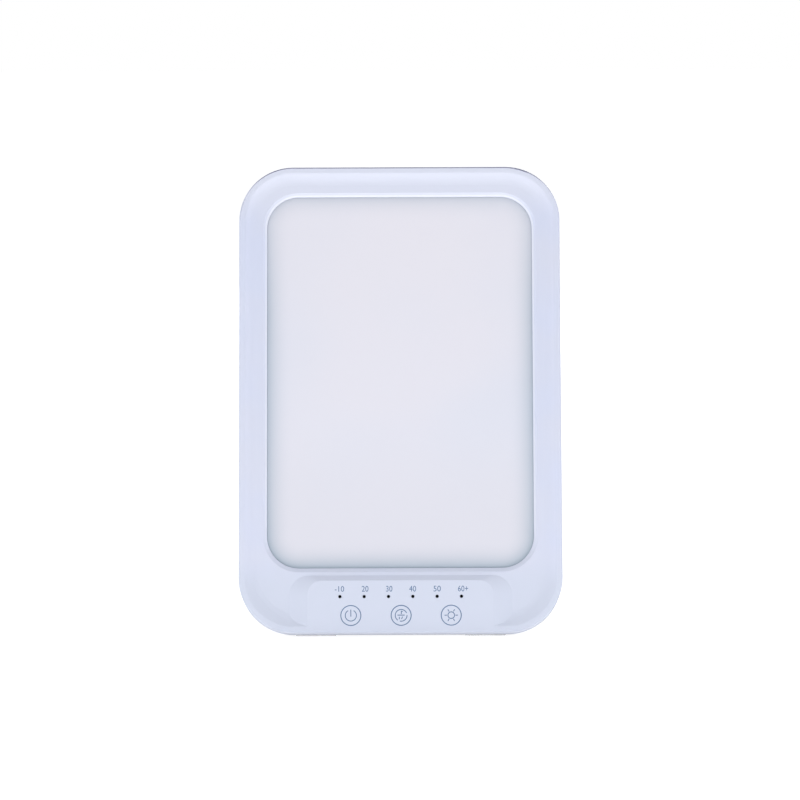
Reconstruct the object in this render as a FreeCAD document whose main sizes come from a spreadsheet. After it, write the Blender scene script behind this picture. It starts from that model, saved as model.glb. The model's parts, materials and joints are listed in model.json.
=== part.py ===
import FreeCAD, Part
import math
import os
import re

import Sketcher

# Light therapy lamp: a slim slab with an edge-lit window, held up by a fold-out leg.
# Every piece is drawn in the slab's own frame, in millimetres, and then leaned back as one:
# X runs across the slab, Y from its front (0) to its back, Z up from its lower edge (0).

sizes = {
    # Slab
    "slabWidth": 160.0,
    "slabHeight": 233.2,
    "slabDepth": 22.0,
    "cornerRadius": 27.0,
    "rimRadius": 0.9,
    "rearRadius": 7.0,
    "wallThick": 2.0,
    "partingDepth": 9.5,
    # Front face: rim, scoop, window lip
    "scoopInset": 3.0,
    "scoopDepth": 2.4,
    "scoopRun": 3.4,
    "scoopRadius": 8.0,
    "scoopLowCorner": 28.0,
    "crestRadius": 1.2,
    "faceWall": 2.0,
    "windowSide": 13.9,
    "windowTop": 14.6,
    "windowLow": 32.1,
    "windowRadius": 16.0,
    "lipWidth": 2.0,
    "lipDepth": 1.5,
    # Raised control panel
    "panelWidth": 92.0,
    "panelOverlap": 0.5,
    "panelHigh": 25.7,
    "panelCorner": 7.0,
    "panelSideRun": 9.0,
    "panelTopRun": 2.7,
    "panelSkin": 2.0,
    "panelMargin": 4.0,
    # Light stack, from the lip back
    "stackOverlap": 2.5,
    "gasketThick": 0.4,
    "gasketMargin": 0.5,
    "diffuserThick": 1.5,
    "filmThick": 0.25,
    "guideThick": 3.0,
    "guideInset": 1.0,
    "reflectorThick": 0.25,
    "plateThick": 0.8,
    "sheetGap": 0.05,
    "plateLip": 1.0,
    "plateCorner": 3.0,
    "flangeReach": 3.6,
    # LED strips
    "ledThick": 0.8,
    "ledAcross": 1.4,
    "ledLong": 3.0,
    "ledCount": 22,
    "ledGap": 0.2,
    "ledBoardThick": 1.0,
    "ledBoardAcross": 3.2,
    "ledEndMargin": 5.0,
    # Keys and indicators
    "keyCount": 3,
    "keyPitch": 25.0,
    "keyHeight": 8.35,
    "dotPitch": 12.0,
    "dotHeight": 17.7,
    "dotCount": 6,
    "dotRadius": 0.78,
    "pinGap": 0.04,
    "pipeBarThick": 2.7,
    "pipeBarHeight": 3.0,
    "dotLedSize": 1.6,
    "dotLedThick": 0.8,
    # Control board
    "boardGap": 3.6,
    "boardThick": 1.6,
    "boardPastBoss": 10.0,
    "boardPastJack": 10.0,
    "boardLow": 4.8,
    "boardHigh": 24.0,
    "springLong": 5.0,
    "springWidth": 4.0,
    "springThick": 0.3,
    "chipSize": 7.0,
    "chipThick": 1.2,
    "chipAcross": 4.0,
    "partHeight": 15.0,
    "inductorSize": 8.0,
    "inductorThick": 4.5,
    "inductorCorner": 1.5,
    "inductorAcross": 26.0,
    "capacitorRadius": 2.6,
    "capacitorLong": 5.6,
    "capacitorAcross": 20.0,
    "capacitorPitch": 6.0,
    "plugWidth": 5.0,
    "plugHeight": 4.0,
    "plugThick": 3.0,
    "plugInset": 0.5,
    "cableHeight": 21.3,
    "cableBend": 3.0,
    "cableThick": 0.3,
    "cableWidth": 2.0,
    # Power inlet
    "jackSide": 28.0,
    "jackHeight": 16.0,
    "jackBody": 9.0,
    "jackNoseRadius": 4.0,
    "jackBoreRadius": 2.85,
    "jackBoreDepth": 9.0,
    "jackPinRadius": 1.0,
    "jackPinLong": 8.0,
    "jackRecess": 0.3,
    "jackClearance": 0.15,
    # Screws and bosses
    "bossRadius": 2.75,
    "bossTop": 11.0,
    "bossUpperSide": 32.0,
    "bossUpperInset": 6.6,
    "bossLowerSide": 14.0,
    "bossLowerHeight": 14.0,
    "wellRadius": 3.0,
    "wellWall": 1.0,
    "wellFloor": 2.0,
    "screwRadius": 1.1,
    "screwHeadRadius": 2.5,
    "screwHeadThick": 1.8,
    "screwReach": 5.0,
    "screwGap": 0.05,
    "screwPass": 0.35,
    "pilotSpare": 0.5,
    "plateBossRadius": 2.2,
    "plateBossAcross": 24.0,
    "plateBossMargin": 2.5,
    "plateHookSide": 18.6,
    "plateHookWidth": 6.0,
    "plateHookThick": 2.0,
    "plateHookReach": 1.0,
    "plateHookGap": 0.1,
    "plateTabWidth": 7.0,
    "plateTabReach": 2.6,
    "smallScrewRadius": 0.9,
    "smallHeadRadius": 1.8,
    "smallHeadThick": 1.0,
    "smallScrewReach": 3.0,
    "boardBossRadius": 1.9,
    "boardBossFromJack": 12.0,
    "boardBossLow": 8.0,
    "boardBossHigh": 21.0,
    "boardScrewReach": 2.6,
    # Rear cover
    "wellSill": 1.0,
    "coverChamfer": 3.0,
    "tongueThick": 0.9,
    "tongueReach": 1.4,
    "tongueGap": 0.12,
    "ventCount": 11,
    "ventPitch": 5.5,
    "ventWidth": 2.2,
    "ventHeight": 22.0,
    "ventInset": 20.2,
    "ribThick": 1.2,
    "ribReach": 3.0,
    "ribCount": 3,
    "ribWellGap": 15.0,
    "ribVentGap": 5.0,
    "ribSide": 16.0,
    # Stand leg, drawn folded, and its hinge
    "leanAngle": 15.0,
    "openAngle": 27.0,
    "hingeHeight": 118.0,
    "hingeInset": 3.4,
    "legWidth": 66.0,
    "legTipWidth": 58.0,
    "legThick": 4.8,
    "legFlush": 0.2,
    "legSideGap": 0.4,
    "legFloorGap": 0.2,
    "legTipRadius": 5.0,
    "barrelRadius": 3.2,
    "barrelGap": 0.4,
    "heelReach": 8.0,
    "heelThick": 3.0,
    "heelGap": 0.5,
    "stopGap": 0.05,
    "notchWidth": 28.0,
    "notchTopWidth": 18.0,
    "notchHigh": 11.0,
    "notchRadius": 4.0,
    "legPocketDepth": 3.0,
    "legPocketMargin": 3.2,
    "legRibThick": 1.6,
    "legRibCount": 4,
    "legRibPitch": 19.0,
    "legRibLow": 28.0,
    "hingePinRadius": 1.5,
    "hingePinInLeg": 14.0,
    "hingeBossLong": 8.0,
    "hingeBossHalf": 4.6,
    "hingeBossFront": 4.2,
    "runningGap": 0.03,
    "washerRadius": 3.0,
    "washerThick": 0.3,
    # Feet
    "footDrop": 4.57,
    "footWellGap": 2.6,
    "footCornerGap": 1.0,
    "footFront": 15.0,
    "footBack": 18.2,
    "footSeat": 1.0,
    "footGap": 0.2,
    "padThick": 1.4,
    "padAcross": 19.0,
    "padWidth": 9.0,
    "padInset": 0.4,
    "padTongue": 1.6,
    "padTongueThick": 2.0,
}

# Places worked out from the sizes above
places = {
    "halfWidth": "slabWidth / 2",
    "windowHalf": "halfWidth - windowSide",
    "windowHigh": "slabHeight - windowTop",
    "seatDepth": "scoopDepth + faceWall",
    "floorInset": "scoopInset + scoopRun",
    "panelHalf": "panelWidth / 2",
    "panelLow": "scoopInset - panelOverlap",
    "stackHalf": "windowHalf + stackOverlap",
    "stackLow": "windowLow - stackOverlap",
    "stackHigh": "windowHigh + stackOverlap",
    "diffuserFront": "seatDepth + gasketThick",
    "filmFront": "diffuserFront + diffuserThick",
    "guideFront": "filmFront + filmThick + sheetGap",
    "reflectorFront": "guideFront + guideThick",
    "plateFront": "reflectorFront + reflectorThick + sheetGap",
    "plateBack": "plateFront + plateThick",
    "guideHalf": "stackHalf - guideInset",
    "ledFace": "guideHalf + ledGap",
    "ledBoardFace": "ledFace + ledThick",
    "flangeFace": "ledBoardFace + ledBoardThick",
    "flangeOuter": "flangeFace + plateThick",
    "plateLow": "stackLow - plateLip",
    "plateHigh": "stackHigh + plateLip",
    "ledBoardFront": "plateFront - sheetGap - ledBoardAcross",
    "ledBoardLow": "stackLow + guideInset",
    "ledBoardHigh": "stackHigh - guideInset",
    "jackAcross": "halfWidth - jackSide",
    "boardRight": "jackAcross + boardPastJack",
    "boardBossAcross": "jackAcross - boardBossFromJack",
    "boardLeft": "boardBossAcross + boardPastBoss",
    "boardFront": "panelSkin + boardGap",
    "boardBack": "boardFront + boardThick",
    "dotLedFront": "boardFront - dotLedThick",
    "jackNose": "slabDepth - jackRecess",
    "coverInner": "slabDepth - wallThick",
    "bossUpperAcross": "halfWidth - bossUpperSide",
    "bossUpperHeight": "slabHeight - bossUpperInset",
    "bossLowerAcross": "halfWidth - bossLowerSide",
    "wellSeat": "bossTop + wellFloor",
    "plateBossHeight": "plateHigh + plateBossMargin",
    "plateHookAcross": "stackHalf - plateHookSide",
    "hookRoot": "plateLow - plateHookGap",
    "hookFace": "plateBack + sheetGap",
    "hingeDepth": "slabDepth - hingeInset",
    "legOuter": "slabDepth - legFlush",
    "legInner": "legOuter - legThick",
    "recessFloor": "legInner - legFloorGap",
    "recessHalf": "legWidth / 2 + legSideGap",
    "recessTipHalf": "legTipWidth / 2 + legSideGap",
    "hingeFloor": "hingeDepth - barrelRadius - barrelGap",
    "recessHigh": "hingeHeight + heelReach + 2 * heelGap",
    "legHigh": "hingeHeight + heelReach",
    "ventTop": "slabHeight - ventInset",
    "ventLow": "ventTop - ventHeight",
    "ribLow": "recessHigh + ribWellGap",
    "ribPitch": "(ventLow - ribVentGap - ribLow) / (ribCount - 1)",
    "ribHalf": "halfWidth - ribSide",
    "heelFace": "legOuter - heelThick",
    "taperHigh": "hingeHeight - barrelRadius - wallThick",
    "heelOffset": "heelFace - hingeDepth",
    "rampTip": "barrelRadius + 2 * barrelGap",
    "rampTipDepth": "hingeDepth + (heelOffset - stopGap) * cos(openAngle) - rampTip * sin(openAngle)",
    "rampTipHeight": "hingeHeight + (heelOffset - stopGap) * sin(openAngle) + rampTip * cos(openAngle)",
    "rampEnd": "heelReach + heelGap",
    "rampEndDepth": "hingeDepth + (heelOffset - stopGap) * cos(openAngle) - rampEnd * sin(openAngle)",
    "rampEndHeight": "hingeHeight + (heelOffset - stopGap) * sin(openAngle) + rampEnd * cos(openAngle)",
    "tipAngle": "openAngle - leanAngle",
    "plugLeftAcross": "boardLeft - plugInset - plugWidth / 2",
    "plugRightAcross": "boardRight - plugInset - plugWidth / 2",
    "standHeight": "(hingeHeight + footDrop) * cos(leanAngle) - hingeDepth * sin(leanAngle)",
    "soleMiddle": "(legOuter - legThick / 2 - hingeDepth + standHeight * sin(tipAngle)) / cos(tipAngle)",
    "tipRise": "(legOuter - hingeDepth) * sin(tipAngle)",
    "tipLow": "hingeHeight - (standHeight - padThick + tipRise) / cos(tipAngle)",
    "footInner": "recessTipHalf + footWellGap",
    "footOuter": "halfWidth - cornerRadius - footCornerGap",
    "footLong": "footOuter - footInner",
}


def bind(text):
    # Turns plain names into references to the sheet
    def swap(match):
        name = match.group(0)
        if name in places:
            return "(" + bind(places[name]) + ")"
        if name in sizes:
            return "Sizes." + name
        return name
    return re.sub(r"[A-Za-z]+", swap, text)


doc = FreeCAD.newDocument("LightTherapyLamp")
sheet = doc.addObject("Spreadsheet::Sheet", "Sizes")
for row, (alias, number) in enumerate(sizes.items(), start=1):
    sheet.set(f"A{row}", alias)
    sheet.set(f"B{row}", str(number))
    sheet.setAlias(f"B{row}", alias)
doc.recompute()
parts = []


def value(text):
    return float(sheet.evalExpression(bind(text)))


def newBody(label, severalSolids=False):
    body = doc.addObject("PartDesign::Body", label)
    body.Label = label
    body.AllowCompound = severalSolids
    parts.append(body)
    return body


def newSketch(body, name, plane, depth="0"):
    # On the XZ plane, depth is counted towards the back; on YZ, towards +X; on XY, upwards
    sketch = body.newObject("Sketcher::SketchObject", body.Name + name)
    support = next(item for item in body.Origin.OriginFeatures if item.Role == plane)
    sketch.AttachmentSupport = [(support, "")]
    sketch.MapMode = "FlatFace"
    sign = "-" if plane == "XZ_Plane" else ""
    sketch.setExpression("AttachmentOffset.Base.z", f"{sign}({bind(depth)})")
    return sketch


def hold(sketch, constraint, expression=None):
    index = sketch.addConstraint(constraint)
    if expression is not None:
        sketch.setExpression(f"Constraints[{index}]", bind(expression))


def holdPoint(sketch, geometry, position, across, up):
    across_value, up_value = value(across), value(up)
    hold(sketch, Sketcher.Constraint("DistanceX", -1, 1, geometry, position, across_value), across)
    hold(sketch, Sketcher.Constraint("DistanceY", -1, 1, geometry, position, up_value), up)


def addOutline(sketch, corners):
    # Closed outline through corners (across, up) or (across, up, radius), each text
    points = [FreeCAD.Vector(value(corner[0]), value(corner[1]), 0) for corner in corners]
    count = len(corners)
    ends = []
    arcs = {}
    for index, corner in enumerate(corners):
        point = points[index]
        if len(corner) == 2:
            ends.append((point, point))
            continue
        before = (points[index - 1] - point).normalize()
        after = (points[(index + 1) % count] - point).normalize()
        radius = value(corner[2])
        half = before.getAngle(after) / 2
        reach = radius / math.tan(half)
        first = point + before * reach
        last = point + after * reach
        centre = point + (before + after).normalize() * (radius / math.sin(half))
        turnsLeft = before.cross(after).z < 0
        ends.append((first, last))
        arcs[index] = (centre, radius, first, last, turnsLeft)
    lines = []
    for index in range(count):
        start, end = ends[index][1], ends[(index + 1) % count][0]
        lines.append(sketch.addGeometry(Part.LineSegment(start, end), False))
    for index, corner in enumerate(corners):
        incoming, outgoing = lines[index - 1], lines[index]
        if index not in arcs:
            hold(sketch, Sketcher.Constraint("Coincident", incoming, 2, outgoing, 1))
            holdPoint(sketch, outgoing, 1, corner[0], corner[1])
            continue
        centre, radius, first, last, turnsLeft = arcs[index]
        start, end = (first, last) if turnsLeft else (last, first)
        startAngle = math.atan2(start.y - centre.y, start.x - centre.x)
        endAngle = math.atan2(end.y - centre.y, end.x - centre.x)
        circle = Part.Circle(centre, FreeCAD.Vector(0, 0, 1), radius)
        arc = sketch.addGeometry(Part.ArcOfCircle(circle, startAngle, endAngle), False)
        arcStart, arcEnd = (1, 2) if turnsLeft else (2, 1)
        hold(sketch, Sketcher.Constraint("Tangent", incoming, 2, arc, arcStart))
        hold(sketch, Sketcher.Constraint("Tangent", arc, arcEnd, outgoing, 1))
        hold(sketch, Sketcher.Constraint("Radius", arc, radius), corner[2])
        mark = sketch.addGeometry(Part.Point(points[index]), True)
        hold(sketch, Sketcher.Constraint("PointOnObject", mark, 1, incoming))
        hold(sketch, Sketcher.Constraint("PointOnObject", mark, 1, outgoing))
        holdPoint(sketch, mark, 1, corner[0], corner[1])


def addBox(sketch, left, right, low, high, radius=None):
    round = () if radius is None else (radius,)
    corners = [(left, low), (right, low), (right, high), (left, high)]
    addOutline(sketch, [corner + round for corner in corners])


def addCircle(sketch, across, up, radius):
    centre = FreeCAD.Vector(value(across), value(up), 0)
    circle = sketch.addGeometry(Part.Circle(centre, FreeCAD.Vector(0, 0, 1), value(radius)), False)
    holdPoint(sketch, circle, 3, across, up)
    hold(sketch, Sketcher.Constraint("Radius", circle, value(radius)), radius)


def finish(feature, sketch=None):
    if sketch is not None:
        sketch.Visibility = False
    doc.recompute()
    return feature


def extrude(body, kind, name, sketch, length, side):
    # side: "back", "front", "right", "left" or "both"
    feature = body.newObject("PartDesign::" + kind, body.Name + name)
    feature.Profile = (sketch, [""])
    if length == "through":
        feature.Type = "ThroughAll"
        feature.SideType = "Symmetric" if side == "both" else "One side"
    else:
        feature.SideType = "Symmetric" if side == "both" else "One side"
        feature.setExpression("Length", bind(length))
    alongNormal = side in ("front", "right", "up")
    feature.Reversed = alongNormal if kind == "Pocket" else not alongNormal
    if side == "both":
        feature.Reversed = False
    before = 0 if feature.BaseFeature is None else feature.BaseFeature.Shape.Volume
    finish(feature, sketch)
    grew = feature.Shape.Volume - before
    if (kind == "Pad") != (grew > 0) or abs(grew) < 1e-6:
        raise RuntimeError(f"{feature.Name} changes nothing: {grew}")
    return feature


def pad(body, name, sketch, length, side="back"):
    return extrude(body, "Pad", name, sketch, length, side)


def pocket(body, name, sketch, length, side="back"):
    return extrude(body, "Pocket", name, sketch, length, side)


def mirror(body, name, originals):
    feature = body.newObject("PartDesign::Mirrored", body.Name + name)
    plane = next(item for item in body.Origin.OriginFeatures if item.Role == "YZ_Plane")
    feature.Originals = originals
    feature.MirrorPlane = (plane, [""])
    body.Tip = feature
    return finish(feature)


def repeat(body, name, originals, axis, pitch, count, backwards=False):
    feature = body.newObject("PartDesign::LinearPattern", body.Name + name)
    line = next(item for item in body.Origin.OriginFeatures if item.Role == axis)
    feature.Originals = originals
    feature.Direction = (line, [""])
    feature.Reversed = backwards
    feature.setExpression("Length", bind(f"{pitch} * ({count} - 1)"))
    feature.setExpression("Occurrences", bind(count))
    body.Tip = feature
    return finish(feature)


def outlineTest(halfAcross, low, high, radius, depth):
    # True for edges at this depth that follow a round-cornered box
    def test(edge):
        point = edge.valueAt((edge.FirstParameter + edge.LastParameter) / 2)
        across = abs(point.x) - (halfAcross - radius)
        up = abs(point.z - (low + high) / 2) - ((high - low) / 2 - radius)
        distance = math.hypot(max(across, 0), max(up, 0)) + min(max(across, up), 0) - radius
        box = edge.BoundBox
        level = max(abs(box.YMin - depth), abs(box.YMax - depth))
        return level < 1e-3 and abs(distance) < 1e-2
    return test


def levelTest(depth):
    # True for edges that lie flat at this depth
    level = value(depth)

    def test(edge):
        box = edge.BoundBox
        return max(abs(box.YMin - level), abs(box.YMax - level)) < 1e-3
    return test


def slabTest(inset, depth):
    edge, shift = value("halfWidth"), value(inset)
    high, corner = value("slabHeight"), value("cornerRadius")
    return outlineTest(edge - shift, shift, high - shift, corner - shift, value(depth))


def edgesWhere(feature, test):
    found = [f"Edge{index}" for index, edge in enumerate(feature.Shape.Edges, start=1) if test(edge)]
    if not found:
        raise RuntimeError(f"no edges found on {feature.Name}")
    return found


def roundOff(body, name, base, radius, test):
    feature = body.newObject("PartDesign::Fillet", body.Name + name)
    feature.Base = (base, edgesWhere(base, test))
    feature.setExpression("Radius", bind(radius))
    body.Tip = feature
    return finish(feature)


def slabOutline(sketch, inset):
    addBox(
        sketch,
        f"-(halfWidth - ({inset}))",
        f"halfWidth - ({inset})",
        inset,
        f"slabHeight - ({inset})",
        f"cornerRadius - ({inset})",
    )


def loft(body, kind, name, sections):
    feature = body.newObject("PartDesign::" + kind, body.Name + name)
    feature.Profile = (sections[0], [""])
    feature.Sections = [(section, [""]) for section in sections[1:]]
    feature.Ruled = True
    for section in sections:
        section.Visibility = False
    return finish(feature)


housingScrews = [
    ("bossUpperAcross", "bossUpperHeight"),
    ("bossLowerAcross", "bossLowerHeight"),
]
plateScrews = [("plateBossAcross", "plateBossHeight")]
boardScrews = [("boardBossAcross", "boardBossHigh")]


def addPairs(sketch, centres, radius):
    for across, up in centres:
        addCircle(sketch, across, up, radius)
        addCircle(sketch, f"-({across})", up, radius)


def frontBezel():
    body = newBody("front_bezel")
    outline = newSketch(body, "Outline", "XZ_Plane")
    slabOutline(outline, "0")
    blank = pad(body, "Blank", outline, "partingDepth")
    # The face drops from the rim to a floor round the window, through a sloped and rounded wall
    mouth = newSketch(body, "ScoopMouth", "XZ_Plane")
    slabOutline(mouth, "scoopInset")
    floor = newSketch(body, "ScoopFloor", "XZ_Plane", "scoopDepth")
    side, top, corner = "halfWidth - floorInset", "slabHeight - floorInset", "cornerRadius - floorInset"
    addOutline(floor, [
        (f"-({side})", "floorInset", "scoopLowCorner"),
        (side, "floorInset", "scoopLowCorner"),
        (side, top, corner),
        (f"-({side})", top, corner),
    ])
    scoop = loft(body, "SubtractiveLoft", "Scoop", [mouth, floor])
    blend = roundOff(body, "ScoopBlend", scoop, "scoopRadius", levelTest("scoopDepth"))
    crest = roundOff(body, "Crest", blend, "crestRadius", slabTest("scoopInset", "0"))
    roundOff(body, "Rim", crest, "rimRadius", slabTest("0", "0"))
    # Control panel, level with the rim, with steep upper and long side flanks
    foot = newSketch(body, "PanelFoot", "XZ_Plane", "scoopDepth")
    face = newSketch(body, "PanelFace", "XZ_Plane")
    for sketch, half, high, corner in (
        (foot, "panelHalf + panelSideRun", "panelHigh + panelTopRun", "panelCorner + panelTopRun"),
        (face, "panelHalf", "panelHigh", "panelCorner"),
    ):
        corners = [(f"-({half})", "panelLow"), (half, "panelLow")]
        corners += [(half, high, corner), (f"-({half})", high, corner)]
        addOutline(sketch, corners)
    loft(body, "AdditiveLoft", "Panel", [foot, face])
    # Window with its chamfered lip
    window = newSketch(body, "Window", "XZ_Plane")
    addBox(window, "-windowHalf", "windowHalf", "windowLow", "windowHigh", "windowRadius")
    opening = pocket(body, "WindowCut", window, "partingDepth")

    onWindow = outlineTest(
        value("windowHalf"),
        value("windowLow"),
        value("windowHigh"),
        value("windowRadius"),
        value("scoopDepth"),
    )
    lip = body.newObject("PartDesign::Chamfer", body.Name + "Lip")
    lip.Base = (opening, edgesWhere(opening, onWindow))
    lip.ChamferType = "Two distances"
    lip.setExpression("Size", bind("lipWidth"))
    lip.setExpression("Size2", bind("lipDepth"))
    body.Tip = lip
    finish(lip)
    # Hollow behind the face
    cavity = newSketch(body, "Cavity", "XZ_Plane", "partingDepth")
    slabOutline(cavity, "wallThick")
    pocket(body, "CavityCut", cavity, "partingDepth - seatDepth", "front")
    rebate = newSketch(body, "Rebate", "XZ_Plane", "partingDepth")
    slabOutline(rebate, "wallThick - tongueThick - tongueGap")
    pocket(body, "RebateCut", rebate, "tongueReach + tongueGap", "front")
    core = newSketch(body, "PanelCore", "XZ_Plane", "seatDepth")
    addBox(
        core,
        "-(panelHalf - panelMargin)",
        "panelHalf - panelMargin",
        "boardLow",
        "panelHigh - panelMargin / 2",
        "panelMargin",
    )
    pocket(body, "PanelCoreCut", core, "seatDepth - panelSkin", "front")
    # Bosses and their pilot holes
    bosses = newSketch(body, "Bosses", "XZ_Plane", "seatDepth - screwPass")
    addPairs(bosses, housingScrews, "bossRadius")
    pad(body, "BossesPad", bosses, "bossTop - seatDepth + screwPass")
    plateBosses = newSketch(body, "PlateBosses", "XZ_Plane", "seatDepth - screwPass")
    addPairs(plateBosses, plateScrews, "plateBossRadius")
    pad(body, "PlateBossesPad", plateBosses, "plateFront - seatDepth + screwPass")
    boardBosses = newSketch(body, "BoardBosses", "XZ_Plane", "panelSkin - screwPass")
    addPairs(boardBosses, boardScrews, "boardBossRadius")
    for side in ("-", ""):
        addBox(
            boardBosses,
            f"{side}boardBossAcross - boardBossRadius",
            f"{side}boardBossAcross + boardBossRadius",
            "boardBossLow - boardBossRadius",
            "boardBossLow + boardBossRadius",
        )
    pad(body, "BoardBossesPad", boardBosses, "boardGap + screwPass")
    pilots = newSketch(body, "Pilots", "XZ_Plane", "bossTop")
    addPairs(pilots, housingScrews, "screwRadius + screwGap")
    pocket(body, "PilotsCut", pilots, "screwReach + pilotSpare", "front")
    platePilots = newSketch(body, "PlatePilots", "XZ_Plane", "plateFront")
    addPairs(platePilots, plateScrews, "smallScrewRadius + screwGap")
    pocket(body, "PlatePilotsCut", platePilots, "smallScrewReach + pilotSpare", "front")
    boardPilots = newSketch(body, "BoardPilots", "XZ_Plane", "boardFront")
    addPairs(boardPilots, boardScrews, "smallScrewRadius + screwGap")
    pocket(body, "BoardPilotsCut", boardPilots, "boardScrewReach + pilotSpare", "front")
    # Hooks that the lower edge of the back plate slides under
    hook = newSketch(body, "Hook", "YZ_Plane", "plateHookAcross - plateHookWidth / 2")
    addOutline(hook, [
        ("seatDepth - screwPass", "hookRoot - plateHookThick"),
        ("hookFace + plateHookThick", "hookRoot - plateHookThick"),
        ("hookFace + plateHookThick", "plateLow + plateHookReach"),
        ("hookFace", "plateLow + plateHookReach"),
        ("hookFace", "hookRoot"),
        ("seatDepth - screwPass", "hookRoot"),
    ])
    hookPad = pad(body, "HookPad", hook, "plateHookWidth", "right")
    mirror(body, "Hooks", [hookPad])
    # Holes for the indicator pins
    dot = newSketch(body, "Dot", "XZ_Plane")
    addCircle(dot, "-dotPitch * (dotCount - 1) / 2", "dotHeight", "dotRadius + pinGap")
    hole = pocket(body, "DotCut", dot, "panelSkin + screwPass")
    repeat(body, "Dots", [hole], "X_Axis", "dotPitch", "dotCount")
    return body


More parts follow.
